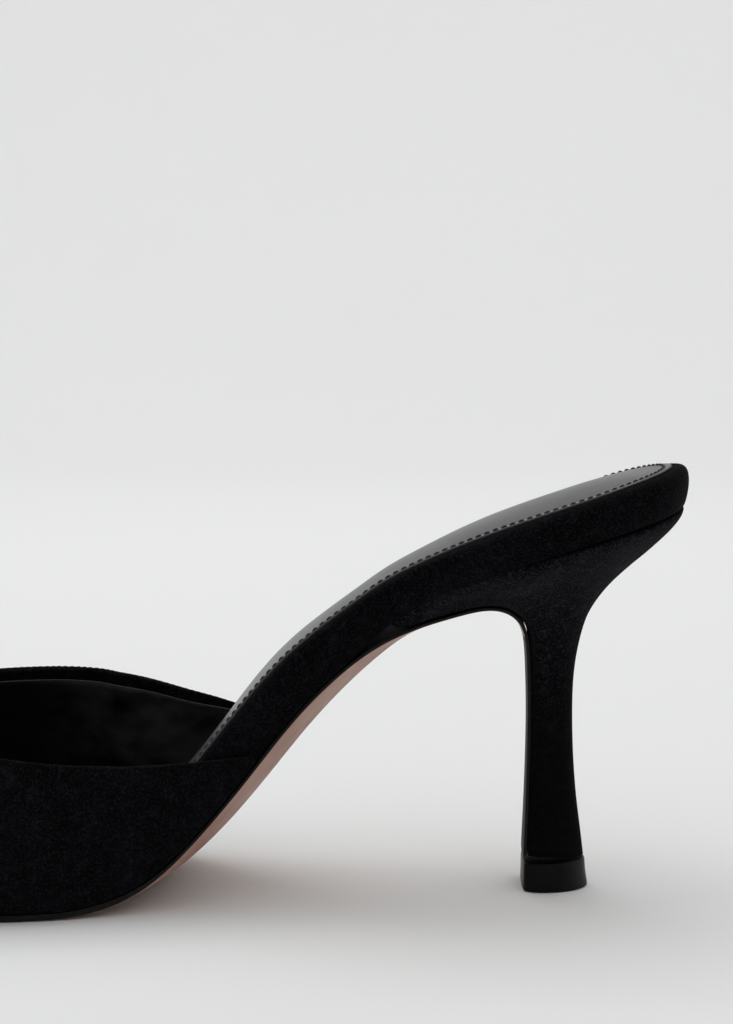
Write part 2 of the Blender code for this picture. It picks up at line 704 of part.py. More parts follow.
loops = [cap_loop(-7.1, 7.1, 8.1, 0.0), cap_loop(-7.5, 7.5, 8.5, 0.45),
         cap_loop(-7.45, 7.0, 8.2, CAP_HEIGHT / 2), cap_loop(-7.4, 6.8, 8.0, CAP_HEIGHT - 0.4),
         cap_loop(-7.1, 6.5, 7.7, CAP_HEIGHT)]
points, faces, numbers = [], [], []
for loop in loops:
    numbers.append(list(range(len(points), len(points) + len(loop))))
    points += loop
for a, b in zip(numbers, numbers[1:]):
    band(faces, a, b)
for number in (numbers[0], numbers[-1]):
    rows = [[number[i], number[2 * count - i]] for i in range(count)]
    fill(faces, rows, (None, number[count]))
solid("top_piece", points, faces, (0.012, 0.012, 0.013), 0.3)
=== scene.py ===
# Left heeled mule in black velvet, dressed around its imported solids.
# The solids' frame: +Z up, toe towards -X, outer side of the foot towards -Y, origin under the heel.
# The shoe's lengths are in millimetres, and become metres where its meshes are made; those of the
# camera and the stage are in metres.
import math

import bmesh
import bpy
import numpy as np
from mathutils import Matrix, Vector


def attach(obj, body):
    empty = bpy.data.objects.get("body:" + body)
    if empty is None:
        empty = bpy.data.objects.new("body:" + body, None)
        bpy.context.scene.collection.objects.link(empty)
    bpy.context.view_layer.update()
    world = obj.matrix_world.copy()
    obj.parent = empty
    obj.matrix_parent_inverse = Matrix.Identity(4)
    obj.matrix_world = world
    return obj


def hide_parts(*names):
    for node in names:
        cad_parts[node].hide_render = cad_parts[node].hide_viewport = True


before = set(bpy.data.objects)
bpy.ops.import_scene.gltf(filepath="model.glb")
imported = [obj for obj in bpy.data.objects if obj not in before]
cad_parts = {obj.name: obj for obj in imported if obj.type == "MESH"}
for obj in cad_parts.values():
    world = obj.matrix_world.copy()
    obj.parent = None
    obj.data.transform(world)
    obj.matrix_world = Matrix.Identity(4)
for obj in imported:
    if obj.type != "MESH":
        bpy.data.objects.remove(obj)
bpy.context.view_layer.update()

# Camera: a short tele lens level with the vamp's side, a little above the heel, with the toe
# beyond the picture's left edge.
FOCAL = 75.59
EYE = (-0.02970, -0.47394, 0.12750)
EYE_TILT = 5.28
EYE_TURN = 1.5
camera = bpy.data.objects.new("camera", bpy.data.cameras.new("camera"))
camera.data.sensor_width = 36.0
camera.data.lens = FOCAL
camera.location = EYE
camera.rotation_euler = (math.radians(90 - EYE_TILT), 0, math.radians(EYE_TURN))
bpy.context.scene.collection.objects.link(camera)
bpy.context.scene.camera = camera
bpy.context.scene.view_settings.view_transform = "Standard"

# Outsole: one thin layer of tan sole leather, painted black on its cut edge, and carried round the
# corner of the shank down the front of the heel as a flap that is painted black all over.
LENGTH = 226.8        # heel back to toe tip, along the floor
HEEL_HEIGHT = 85.4    # floor to the footbed's underside at its back end
BALL_WIDTH = 73.5     # sole width across the ball
REAR_X = 28.3         # back end of the footbed
TOE_X = REAR_X - LENGTH
TREAD_BACK = -107.0   # the flat tread runs between these two
TREAD_FRONT = -142.0
TOE_SPRING = 7.2      # rise of the sole's edge at the toe tip
TOE_SIDE = 6.5        # the toe tip lies this far to the inner side
TOE_JOIN = -134.0     # widest place, where the toe's outline starts
SEAT_JOIN = 4.0       # where the round seat's outline starts
SOLE = 1.7            # sole thickness under the ball
SHANK_SOLE = 0.65     # sole thickness at its edge along the shank
SHANK_HALF = 21.0     # half width of the shank, over which its inner edge drops
TOE_POINT = 1.55      # fullness of the toe's outline; 2 would make it an ellipse
MM = 0.001            # metres in a millimetre

# Upper face of the sole at its edge, from the tread up to the heel:
# share of the length from the heel back, share of the heel height.
SHANK = [
    (0.2086, 0.7471),
    (0.2306, 0.7377),
    (0.2571, 0.7190),
    (0.2835, 0.6920),
    (0.3056, 0.6593),
    (0.3320, 0.6054),
    (0.3585, 0.5398),
    (0.3849, 0.4625),
    (0.4114, 0.3724),
    (0.4378, 0.2845),
    (0.4643, 0.2026),
    (0.4907, 0.1311),
    (0.5172, 0.0785),
    (0.5437, 0.0468),
    (0.5745, 0.0263),
    (0.5966, 0.0199),
]
# Underside of the footbed over the heel: the same two shares.
SEAT = [
    (0.0000, 1.0000),
    (0.0454, 0.9649),
    (0.0895, 0.9309),
    (0.1336, 0.8934),
    (0.1808, 0.8536),
    (0.2271, 0.8080),
    (0.2601, 0.7670),
    (0.2791, 0.7330),
    (0.2967, 0.6920),
    (0.3144, 0.6499),
    (0.3320, 0.6054),
    (0.3585, 0.5398),
    (0.3849, 0.4625),
]
# The sole's flap round the corner and down the heel breast:
# share of the length, share of the height, half width as a share of the ball width, thickness.
FLAP = [
    (0.2571, 0.7190, 0.275, 0.65),
    (0.2306, 0.7377, 0.248, 0.68),
    (0.2086, 0.7494, 0.210, 0.72),
    (0.1953, 0.7529, 0.182, 0.76),
    (0.1821, 0.7494, 0.155, 0.80),
    (0.1702, 0.7365, 0.129, 0.80),
    (0.1601, 0.7131, 0.109, 0.80),
    (0.1534, 0.6756, 0.091, 0.80),
    (0.1508, 0.6206, 0.078, 0.80),
    (0.1495, 0.5386, 0.065, 0.80),
    (0.1490, 0.4684, 0.060, 0.80),
    (0.1493, 0.3747, 0.059, 0.80),
    (0.1504, 0.2576, 0.064, 0.80),
    (0.1517, 0.1639, 0.072, 0.80),
    (0.1530, 0.0867, 0.080, 0.80),
]
# Plan of the sole's edge: share of the length, outer and inner half width as shares of the ball width.
PLAN = [
    (0.1071, 0.3306, 0.3306),
    (0.1468, 0.3333, 0.3306),
    (0.1909, 0.3224, 0.3129),
    (0.2350, 0.3048, 0.2857),
    (0.2791, 0.2898, 0.2571),
    (0.3232, 0.2844, 0.2354),
    (0.3673, 0.2925, 0.2299),
    (0.4114, 0.3156, 0.2476),
    (0.4555, 0.3469, 0.2898),
    (0.4996, 0.3810, 0.3442),
    (0.5437, 0.4136, 0.4000),
    (0.5877, 0.4463, 0.4490),
    (0.6539, 0.4830, 0.4952),
    (0.7156, 0.4925, 0.5075),
]
# Section of the bed along the foot: x, footbed thickness, outward lean of the sides, belly of the
# footbed, belly of the sole's upper face and of its underside, drop of the inner edge below the outer.
BED = [
    (-198.5, 3.0, 0.8, 0.0, 0.0, 0.0, 0.0),
    (-160.0, 3.2, 1.8, 0.0, 0.0, 0.0, 0.0),
    (-125.0, 3.6, 2.4, 0.0, 0.0, 0.0, 0.0),
    (-110.0, 4.3, 2.6, 0.0, 0.0, 0.0, 0.0),
    (-100.0, 5.7, 2.8, 0.3, 0.3, 0.6, 0.0),
    (-92.0, 7.4, 3.0, 0.8, 0.8, 2.2, 0.2),
    (-85.0, 8.4, 3.4, 1.1, 1.1, 3.5, 0.5),
    (-77.0, 9.0, 3.8, 1.1, 1.1, 4.1, 0.9),
    (-66.0, 9.35, 4.2, 1.2, 1.2, 4.15, 1.3),
    (-55.0, 9.5, 4.2, 1.3, 1.3, 4.2, 1.5),
    (-47.0, 9.35, 4.1, 1.1, 1.1, 3.85, 1.4),
    (-40.0, 8.35, 3.9, 0.6, 0.9, 3.3, 0.9),
    (-31.0, 7.45, 3.4, 0.0, 0.5, 1.65, 0.2),
    (-20.0, 7.45, 2.7, 0.0, 0.2, 0.9, 0.0),
    (-10.0, 7.75, 2.0, 0.0, 0.0, 0.3, 0.0),
    (8.0, 8.15, 1.4, 0.0, 0.0, 0.3, 0.0),
    (28.3, 8.8, 1.2, 0.0, 0.0, 0.3, 0.0),
]


def spline(rows, column, start=None):
    """Cubic through one column of a table; start is its first slope, free when left out."""
    rows = sorted(rows)
    x = np.array([r[0] for r in rows])
    y = np.array([r[column] for r in rows])
    n = len(x)
    h = np.diff(x)
    m = np.zeros((n, n))
    v = np.zeros(n)
    for i in range(1, n - 1):
        m[i, i - 1:i + 2] = h[i - 1], 2 * (h[i - 1] + h[i]), h[i]
        v[i] = 6 * ((y[i + 1] - y[i]) / h[i] - (y[i] - y[i - 1]) / h[i - 1])
    m[0, 0] = m[-1, -1] = 1
    if start is not None:
        m[0, :2] = 2 * h[0], h[0]
        v[0] = 6 * ((y[1] - y[0]) / h[0] - start)
    k = np.linalg.solve(m, v)

    def curve(at):
        at = np.asarray(at, float)
        i = np.clip(np.searchsorted(x, at) - 1, 0, n - 2)
        a = (x[i + 1] - at) / h[i]
        b = 1 - a
        bend = ((a ** 3 - a) * k[i] + (b ** 3 - b) * k[i + 1]) * h[i] ** 2 / 6
        inside = a * y[i] + b * y[i + 1] + bend
        return np.where(at < x[0], y[0], np.where(at > x[-1], y[-1], inside))
    return curve


def line(rows, column):
    """Straight lines through one column of a table."""
    rows = sorted(rows)
    x = [r[0] for r in rows]
    y = [r[column] for r in rows]
    return lambda at: np.interp(at, x, y)


def soft(low, high, at):
    """Smooth step from 0 at low to 1 at high."""
    t = np.clip((np.asarray(at, float) - low) / (high - low), 0, 1)
    return t * t * (3 - 2 * t)


def full_size(rows):
    """Turns a table's first two shares into millimetres."""
    return [(REAR_X - r[0] * LENGTH, r[1] * HEEL_HEIGHT) + tuple(r[2:]) for r in rows]


shank_curve = spline(full_size(SHANK), 1, start=0.0)
seat_curve = spline(full_size(SEAT), 1)
plan_rows = [(REAR_X - b * LENGTH, o * BALL_WIDTH, i * BALL_WIDTH) for b, o, i in PLAN]
outer_width = spline(plan_rows, 1)
inner_width = spline(plan_rows, 2)
sole_belly = line(BED, 4)
under_belly = spline(BED, 5)
bed_roll = line(BED, 6)
SEAT_TAKES_OVER = (-53, -47)   # here the footbed leaves the sole's curve for the seat's


def inner_share(y):
    """Share of the way from the shank's outer edge to its inner edge at y."""
    return (y + SHANK_HALF) / (2 * SHANK_HALF)


def sole_z(x):
    toe = np.clip((TREAD_FRONT - x) / (TREAD_FRONT - TOE_X), 0, 1.1)
    return np.where(x < TREAD_BACK, SOLE + TOE_SPRING * toe ** 2, shank_curve(x))


def bed_z(x):
    share = soft(*SEAT_TAKES_OVER, x)
    return sole_z(x) * (1 - share) + seat_curve(x) * share


class Path:
    """A bent line in the shoe's long plane, with the direction in which heights are taken."""

    def __init__(self, p, x, z, angle):
        self.p, self.x, self.z, self.angle = p, x, z, angle

    def place(self, p, y, h):
        a = np.interp(p, self.p, self.angle)
        x = np.interp(p, self.p, self.x) - h * np.sin(a)
        z = np.interp(p, self.p, self.z) + h * np.cos(a) - bed_roll(p) * inner_share(y)
        return np.stack([x, y + 0 * x, z], -1)

    def nearest(self, x, z):
        return self.p[np.argmin((self.x - x) ** 2 + (self.z - z) ** 2)]


def averaged(values, half):
    """Running mean over 2 * half + 1 samples."""
    padded = np.pad(values, half, mode="edge")
    return np.convolve(padded, np.ones(2 * half + 1) / (2 * half + 1), "valid")


STEP = 0.25                # the lines are worked out at this spacing
BEYOND = 4                 # and this far past both ends
TOE_STANDS = (-150, -118)  # forward of these, heights are taken straight up
BED_AVERAGE = 56           # samples on each side for the bed's angle
CORNER_AVERAGE = 5         # and for the sharper corner of the sole
FLAP_TURNS = (-47, -36)    # from the bed's angle to the sole's own
grid = np.arange(TOE_X - BEYOND, REAR_X + BEYOND, STEP)
bed_angle = averaged(np.arctan(np.gradient(bed_z(grid), STEP)), BED_AVERAGE) * soft(*TOE_STANDS, grid)

# The sole follows the bed's line to the heel lip and then its own corner and flap.
flap_rows = full_size(FLAP)
steps = [0.0]
for a, b in zip(flap_rows, flap_rows[1:]):
    steps.append(steps[-1] + math.hypot(b[0] - a[0], b[1] - a[1]))
FLAP_START = flap_rows[0][0]
flap_at = [(FLAP_START + s, r[0], r[1], r[2] * BALL_WIDTH, r[3]) for s, r in zip(steps, flap_rows)]
FLAP_END = flap_at[-1][0]
shank_grid = np.arange(TOE_X - BEYOND, FLAP_START, STEP)
flap_grid = np.arange(FLAP_START, FLAP_END + 1, STEP)
start_slope = float(np.gradient(shank_curve(flap_grid[:2]), STEP)[0])
stretch = math.hypot(1, start_slope)
flap_x = spline(flap_at, 1, start=1 / stretch)
flap_z = spline(flap_at, 2, start=start_slope / stretch)
sole_p = np.concatenate([shank_grid, flap_grid])
sole_x = np.concatenate([shank_grid, flap_x(flap_grid)])
sole_h = np.concatenate([sole_z(shank_grid), flap_z(flap_grid)])
close = averaged(np.unwrap(np.arctan2(np.gradient(sole_h), np.gradient(sole_x))), CORNER_AVERAGE)
wide = np.interp(sole_p, grid, bed_angle)
turn = soft(*FLAP_TURNS, sole_p)
sole = Path(sole_p, sole_x, sole_h, wide * (1 - turn) + close * turn)
flap_width = spline(flap_at, 3)
flap_thick = spline(flap_at, 4)
SHANK_SKIVED = (-100, -79)
FLAP_SKIVED = (-50, -30)


def sole_thickness(p):
    """Thickness at the edge: full under the ball, skived thin along the shank and the flap."""
    shank = SOLE + (SHANK_SOLE - SOLE) * soft(*SHANK_SKIVED, p)
    return shank + (flap_thick(p) - shank) * soft(*FLAP_SKIVED, p)


def edge(x, inset, side):
    """Signed half width of the bed at x, drawn in by inset; side is -1 outer, 1 inner."""
    width = outer_width if side < 0 else inner_width
    tip = TOE_X + inset
    rear = REAR_X - inset
    straight = side * (width(np.clip(x, TOE_JOIN, SEAT_JOIN)) - inset)
    toe = np.clip((TOE_JOIN - x) / (TOE_JOIN - tip), 0, 1)
    seat = np.clip((x - SEAT_JOIN) / (rear - SEAT_JOIN), 0, 1)
    pointed = (1 - toe ** 2) ** (1 / TOE_POINT)
    rounded = (1 - seat ** 2) ** 0.5
    y = TOE_SIDE + (straight - TOE_SIDE) * pointed
    return np.where(x < TOE_JOIN, y, straight * rounded)


def toe_stations(inset, count):
    t = np.sin(np.linspace(0, math.pi / 2, count + 1))[1:-1]
    return TOE_JOIN - (TOE_JOIN - TOE_X - inset) * t


class Wire:
    """A node's output that takes part in sums."""

    def __init__(self, finish, socket):
        self.finish, self.socket = finish, socket

    def sum(self, operation, first, second):
        return self.finish.node("ShaderNodeMath", {"operation": operation}, {0: first, 1: second})

    def __add__(self, other):
        return self.sum("ADD", self, other)

    def __mul__(self, other):
        return self.sum("MULTIPLY", self, other)

    __radd__ = __add__
    __rmul__ = __mul__


class Finish:
    """A material that is built up one node at a time."""

    def __init__(self, name, roughness, **plain):
        self.material = bpy.data.materials.new(name)
        self.material.use_nodes = True
        self.tree = self.material.node_tree
        self.shader = self.tree.nodes["Principled BSDF"]
        self.shader.inputs["Roughness"].default_value = roughness
        for socket, value in plain.items():
            self.shader.inputs[socket.replace("_", " ")].default_value = value
        self.place = self.node("ShaderNodeTexCoord", {}, {}, "Object")

    def node(self, kind, settings, inputs, output=0):
        made = self.tree.nodes.new(kind)
        for setting, value in settings.items():
            setattr(made, setting, value)
        for socket, value in inputs.items():
            if isinstance(value, Wire):
                self.tree.links.new(value.socket, made.inputs[socket])
            else:
                made.inputs[socket].default_value = value
        return Wire(self, made.outputs[output])

    def noise(self, scale, detail=2.0, stretch=None):
        """Even noise from 0 to 1, scale in grains a metre; stretch is its size along the axes."""
        where = self.place
        if stretch is not None:
            where = self.node("ShaderNodeVectorMath", {"operation": "MULTIPLY"}, {0: where, 1: stretch})
        return self.node("ShaderNodeTexNoise", {}, {"Vector": where, "Scale": scale, "Detail": detail})

    def along(self, axis):
        """Place in metres along one axis of the shoe."""
        return self.node("ShaderNodeSeparateXYZ", {}, {"Vector": self.place}, axis)

    def blend(self, share, first, second):
        return self.node("ShaderNodeMix", {"data_type": "RGBA"},
                         {"Factor": share, 6: (*first, 1) if isinstance(first, tuple) else first,
                          7: (*second, 1) if isinstance(second, tuple) else second}, 2)

    def clear(self, value, low, high):
        """Value spread so that low becomes 0 and high becomes 1."""
        return self.node("ShaderNodeMapRange", {}, {"Value": value, "From Min": low, "From Max": high})

    def bump(self, height, depth):
        """Raises the surface by height, from 0 to 1, times depth in millimetres."""
        inputs = {"Height": height, "Distance": depth * MM, "Strength": 1.0}
        self.feed("Normal", self.node("ShaderNodeBump", {}, inputs))

    def feed(self, socket, wire):
        self.tree.links.new(wire.socket, self.shader.inputs[socket])


def piece(name, points, faces, finishes, replaced=None, levels=2, wears=None):
    """A piece of the shoe from points in millimetres; wears names the finish of each face."""
    mesh = bpy.data.meshes.new(name)
    mesh.from_pydata([tuple(float(c) * MM for c in p) for p in points], [], faces)
    for finish in finishes:
        mesh.materials.append(finish.material)
    if wears is not None:
        mesh.polygons.foreach_set("material_index", np.array(wears, np.int32))
    mesh.polygons.foreach_set("use_smooth", np.ones(len(mesh.polygons), bool))
    shaped = bmesh.new()
    shaped.from_mesh(mesh)
    bmesh.ops.recalc_face_normals(shaped, faces=shaped.faces)
    shaped.to_mesh(mesh)
    shaped.free()
    item = bpy.data.objects.new(name, mesh)
    bpy.context.scene.collection.objects.link(item)
    if levels:
        rounding = item.modifiers.new("rounding", "SUBSURF")
        rounding.levels = rounding.render_levels = levels
    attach(item, "root")
    if replaced:
        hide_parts(replaced)


def band(faces, first, second):
    """Joins two rings of point numbers with one row of faces."""
    for i in range(len(first)):
        j = (i + 1) % len(first)
        faces.append((first[i], first[j], second[j], second[i]))


def fill(faces, rows, ends):
    """Closes a ring with its cross rows and the single points beyond the first and last row."""
    for a, b in zip(rows, rows[1:]):
        for i in range(len(a) - 1):
            faces.append((a[i], a[i + 1], b[i + 1], b[i]))
    for row, tip in ((rows[0], ends[0]), (rows[-1], ends[1])):
        if tip is not None:
            for i in range(len(row) - 1):
                faces.append((row[i], row[i + 1], tip))


def plate(path, rings, across):
    """Points and faces of a closed layer, and for each face the number of its band, from rings of
    (stations, outer y, inner y, rear, tip, height); the two broad sides are bands -1 and -2."""
    points, faces, numbers, bands = [], [], [], []
    for stations, outer, inner, rear, tip, height in rings:
        flat = list(zip(stations, outer))
        if tip is not None:
            flat.append((tip, TOE_SIDE))
        flat += list(zip(stations, inner))[::-1]
        if rear is not None:
            flat.insert(0, (rear, 0.0))
        else:
            flat += [(stations[0], y) for y in np.linspace(inner[0], outer[0], across + 2)[1:-1]]
        p, y = np.array(flat).T
        start = len(points)
        points += list(path.place(p, y, height(p, y)))
        numbers.append(list(range(start, len(points))))
    for k, (a, b) in enumerate(zip(numbers, numbers[1:])):
        band(faces, a, b)
        bands += [k] * len(a)
    for side, ring, number in ((-1, rings[0], numbers[0]), (-2, rings[-1], numbers[-1])):
        stations, outer, inner, rear, tip, height = ring
        first = 0 if rear is None else 1
        final = 2 * len(stations) + 1
        rows = []
        if rear is None:
            rows.append([number[0], *number[:final - 1:-1], number[final - 1]])
        for i, p in enumerate(stations):
            if i < len(rows):
                continue
            y = np.linspace(outer[i], inner[i], across + 2)[1:-1]
            start = len(points)
            points += list(path.place(np.full(across, p), y, height(p, y)))
            rows.append([number[first + i], *range(start, len(points)), number[final + first - 1 - i]])
        ends = (number[0] if rear is not None else None,
                number[first + len(stations)] if tip is not None else None)
        fill(faces, rows, ends)
        bands += [side] * (len(faces) - len(bands))
    return points, faces, bands


# Stations along the foot that sole, footbed and sock share, and those of the flap.
COMMON = [-46, -50, -54, -58, -62, -65.5, -69, -72.5, -76, -79.5, -83, -86.5, -90, -93.5, -97.5,
          -102, -107, -116, -125, -134]
BREAST_TOP = -37.6
breast_part = [FLAP_END, *np.linspace(FLAP_END - 4, BREAST_TOP, 24)]
FLAP_NARROWS = (-36, -29)
BELLY_END = -10    # the flap keeps the belly that the sole has here


def sole_half(p, side, inset):
    wide_part = edge(p, inset, side)
    share = soft(*FLAP_NARROWS, p)
    return wide_part * (1 - share) + side * (flap_width(p) - inset) * share


def sole_ring(inset, depth):
    stations = np.concatenate([breast_part, [-42.0], COMMON, toe_stations(inset, 13)])
    stations[0] -= inset
    outer = sole_half(stations, -1, inset)
    inner = sole_half(stations, 1, inset)

    def height(p, y):
        half = np.abs(np.where(y < 0, sole_half(p, -1, 0.0), sole_half(p, 1, 0.0)))
        toe_side = np.where(p < TOE_JOIN, 0, y)
        at = np.minimum(p, BELLY_END)
        bulge = sole_belly(at) * (1 - depth) + under_belly(at) * depth
        return -bulge * np.clip(1 - (toe_side / half) ** 2, 0, 1) - sole_thickness(p) * depth
    return stations, outer, inner, None, TOE_X + inset, height


# The sole's rings from its upper face to its lower one: inset, share of the thickness.
SOLE_RINGS = [(0.8, 0.0), (0.34, 0.04), (0.28, 0.2), (0.28, 0.7), (0.36, 0.9), (0.75, 1.0)]
TAN = (0.41, 0.235, 0.175)
TAN_DARK = (0.32, 0.165, 0.115)
TAN_LIGHT = (0.52, 0.36, 0.29)
PAINT = (0.003, 0.003, 0.0034)
PAINT_WORN = (0.008, 0.008, 0.008)
sole_leather = Finish("sole_leather", 0.5, Specular_IOR_Level=0.45)
mottle = sole_leather.noise(55, 4)
pores = sole_leather.noise(1500, 3)
fibres = sole_leather.noise(260, 4, (1, 1, 0.25))
tan = sole_leather.blend(sole_leather.clear(mottle, 0.35, 0.7), TAN, TAN_DARK)
tan = sole_leather.blend(sole_leather.clear(fibres, 0.52, 0.8) * 0.4, tan, TAN_LIGHT)
sole_leather.feed("Base Color", tan)
sole_leather.feed("Roughness", 0.42 + mottle * 0.2)
sole_leather.bump(pores * 0.6 + fibres * 0.4, 0.03)
edge_paint = Finish("sole_edge_paint", 0.55, Specular_IOR_Level=0.14)
worn = edge_paint.clear(edge_paint.noise(420, 4, (1, 1, 3)), 0.42, 0.75)
edge_paint.feed("Base Color", edge_paint.blend(worn, PAINT, PAINT_WORN))
edge_paint.bump(edge_paint.noise(900, 3), 0.05)
points, faces, bands = plate(sole, [sole_ring(*ring) for ring in SOLE_RINGS], 7)
PAINTED = (0, 1, 2, 3, -1)
BLACK_BEHIND = -20.0
BLACK_BELOW = 58.0


def painted(face, number):
    """Black paint covers the edge and the whole flap below the bend."""
    middle = np.mean([points[k] for k in face], axis=0)
    return int(number in PAINTED or (middle[0] > BLACK_BEHIND and middle[2] < BLACK_BELOW))


piece("sole_layer", points, faces, [sole_leather, edge_paint], "outsole",
      wears=[painted(face, number) for face, number in zip(faces, bands)])

# Footbed: a moulded board with a thin pad, wrapped in the vamp's velvet, which is pulled round its
# rim and glued underneath; inside the vamp it lies behind the lining.
WALL = 1.8            # velvet, stiffener and lining of the vamp
FLARE_HEIGHT = 11.0   # height over which the sides lean outwards
BED_PLAY = 0.15       # the cover stays this far inside the sole's edge,
VAMP_ROOM = 0.75      # this much further than the vamp's wall where the vamp goes round it,
TOE_ROOM = 0.8        # and further still in the toe
WING_END = (-69, -58.5)
TOE_PART = (-175, -135)
SEAT_STANDS = (-14, 24)   # over the heel, heights turn straight up
# Top of the footbed along the foot: x, crown at the middle, fall from the outer to the inner edge.
TOP = [
    (-100.0, 0.0, 0.0),
    (-92.0, 0.2, 0.2),
    (-85.0, 0.6, 0.5),
    (-77.0, 0.95, 0.9),
    (-66.0, 1.2, 1.3),
    (-55.0, 1.65, 1.5),
    (-47.0, 1.8, 2.0),
    (-40.0, 1.8, 2.6),
    (-33.0, 1.8, 2.7),
    (-26.0, 1.8, 2.4),
    (-20.0, 2.0, 1.9),
    (-8.0, 2.3, 1.3),
    (0.0, 2.3, 1.1),
    (8.0, 2.2, 0.9),
    (14.0, 1.8, 0.6),
    (20.0, 1.0, 0.25),
    (28.3, 0.4, 0.0),
]
bed_thickness = spline(BED, 1)
side_lean = spline(BED, 2)
bed_belly = line(BED, 3)
top_crown = spline(TOP, 1)
top_fall = spline(TOP, 2)
last = Path(grid, grid, bed_z(grid), bed_angle * (1 - soft(*SEAT_STANDS, grid)))
seat_list = [SEAT_JOIN, -4, -12, -20, -26, -31, -34.5, -38, -42]


def tucked(x):
    """Distance of the footbed's side from the sole's edge at the foot of the side."""
    return BED_PLAY + (WALL + VAMP_ROOM) * (1 - soft(*WING_END, x)) + TOE_ROOM * (1 - soft(*TOE_PART, x))


def lean(x, h):
    """How far the side leans outwards at height h."""
    return side_lean(x) * (1 - (1 - np.clip(h / FLARE_HEIGHT, 0, 1)) ** 2)


def seat_stations(inset, count):
    t = np.sin(np.linspace(0, math.pi / 2, count + 1))[1:-1]
    return SEAT_JOIN + (REAR_X - inset - SEAT_JOIN) * t[::-1]


def belly(depth, x, y):
    """Downward bulge at y of a layer whose bulge at the middle is depth."""
    half = np.where(y < 0, outer_width(x), inner_width(x))
    return depth(x) * np.clip(1 - (y / half) ** 2, 0, 1)


def top_shape(x, y):
    """Rise of the footbed's top over its edge: a crown across, falling towards the inner side."""
    return belly(top_crown, x, y) - top_fall(x) * inner_share(y)


GLUED = 0.05              # pieces that are glued flat meet this closely
FULL_ROUNDING = 8.0       # thickness from which the rim's rounding is whole
UNDERSIDE = 0.2           # rings below this share belong to the glued underside,
TIGHT = 0.25              # whose rounding is this share of it at the shank,
TIGHT_UNTIL = (-25, 12)   # and grows to the whole towards the heel's back
SOLE_LEAVES = (-43, -34)


def bed_ring(drawn, share, swell):
    """Ring of the cover; drawn is its rounding inwards, share its height within the thickness, swell
    how far the pad stands proud there."""
    def inset(x):
        rounding = drawn * np.minimum(1, bed_thickness(x) / FULL_ROUNDING)
        if share < UNDERSIDE:
            rounding = rounding * (TIGHT + (1 - TIGHT) * soft(*TIGHT_UNTIL, x))
        return tucked(x) + rounding - lean(x, share * bed_thickness(x))
    stations = np.concatenate([seat_stations(float(inset(REAR_X)), 9), seat_list, COMMON,
                               toe_stations(float(inset(TOE_X)), 11)])
    outer = np.array([edge(x, inset(x), -1) for x in stations])
    inner = np.array([edge(x, inset(x), 1) for x in stations])

    def height(x, y):
        base = GLUED * (1 - soft(*SOLE_LEAVES, x))
        toe_side = np.where(x < TOE_JOIN, 0, y)
        low = base - belly(bed_belly, x, toe_side) * (1 - share) ** 2
        return low + share * (bed_thickness(x) - base + top_shape(x, y)) + swell
    return (stations, outer, inner, REAR_X - float(inset(REAR_X)), TOE_X + float(inset(TOE_X)), height)


# The cover's rings from its underside to its top: drawn, share, swell.
BED_RINGS = [(0.8, 0.0, 0.0), (0.2, 0.07, 0.0), (0.0, 0.3, 0.0), (0.05, 0.6, 0.0), (0.45, 0.84, 0.05),
             (1.3, 0.96, 0.22), (2.5, 1.0, 0.42), (3.3, 1.0, 0.45), (4.2, 1.0, 0.28)]
PILE = (0.0006, 0.0006, 0.0009)
PILE_LIT = (0.0105, 0.0108, 0.0132)


def velvet_finish(name, pile, lit, painted_light_heights=None):
    """Short dense pile: nearly black, lighter at random where the nap leans. The last argument, when
    given, is a range of heights in metres over which painted light from above makes the pile lighter
    upwards, with painted shade below it."""
    velvet = Finish(name, 0.92, Specular_IOR_Level=0.04, Sheen_Weight=0.012, Sheen_Roughness=0.35)
    velvet.shader.inputs["Sheen Tint"].default_value = (0.8, 0.85, 1.0, 1)
    tips = velvet.noise(2300, 2)
    nap = velvet.noise(70, 3, (1, 1, 0.45))
    tufts = velvet.noise(420, 3)
    shade = velvet.clear(tips, 0.48, 0.66) * 0.6 + velvet.clear(nap, 0.42, 0.72) * 0.2
    shade = shade + velvet.clear(tufts, 0.52, 0.72) * 0.25
    # Painted light from above: the pile is darkened below the given heights and lightened up through them.
    if painted_light_heights:
        shade = shade * (0.15 + velvet.clear(velvet.along(2), *painted_light_heights) * 0.85)
    velvet.feed("Base Color", velvet.blend(shade, pile, lit))
    velvet.bump(tips * 0.6 + tufts * 0.4, 0.4)
    return velvet


velvet = velvet_finish("velvet", PILE, PILE_LIT)
points, faces, bands = plate(last, [bed_ring(*ring) for ring in BED_RINGS], 5)
piece("footbed_cover", points, faces, [velvet], "footbed")

# Sock: smooth black lining leather on the footbed, cut clean at its edge and sewn down with one
# row of black thread that sits in its own groove.
SOCK_LEATHER = 0.6        # thickness
GAP = 0.35                # play between pieces that meet
SOCK_INSET = 3.6          # from the footbed's side to the sock's edge
SEAM_INSET = 0.52         # from the sock's edge to the seam
BACK_WIDENS = (6, 27)     # towards the heel's back the sock ends shorter by SHORTER,
SHORTER = 0.5
SEAM_SHORTER = 1.5        # and the seam by this much more
SEAM_SIDE = 0.27          # rings from this inset on shift with the seam
INTO_VAMP = (-95, -75)    # inside the vamp the sock is wider by VAMP_WIDER
VAMP_WIDER = 1.0
SOCK_BLACK = (0.020, 0.020, 0.0215)
SOCK_GREY = (0.028, 0.028, 0.030)
RAW_BLACK = (0.03, 0.03, 0.032)
RAW_GREY = (0.09, 0.09, 0.095)
# The sock's rings from its underside to its top: inset, share of the thickness; the dip is the seam's.
SOCK_RINGS = [(0.12, 0.0), (0.0, 0.2), (0.0, 0.7), (0.05, 0.92), (0.16, 1.0), (0.27, 1.0), (0.4, 0.8),
              (0.64, 0.8), (0.8, 1.0), (2.0, 1.03), (6.0, 1.03)]


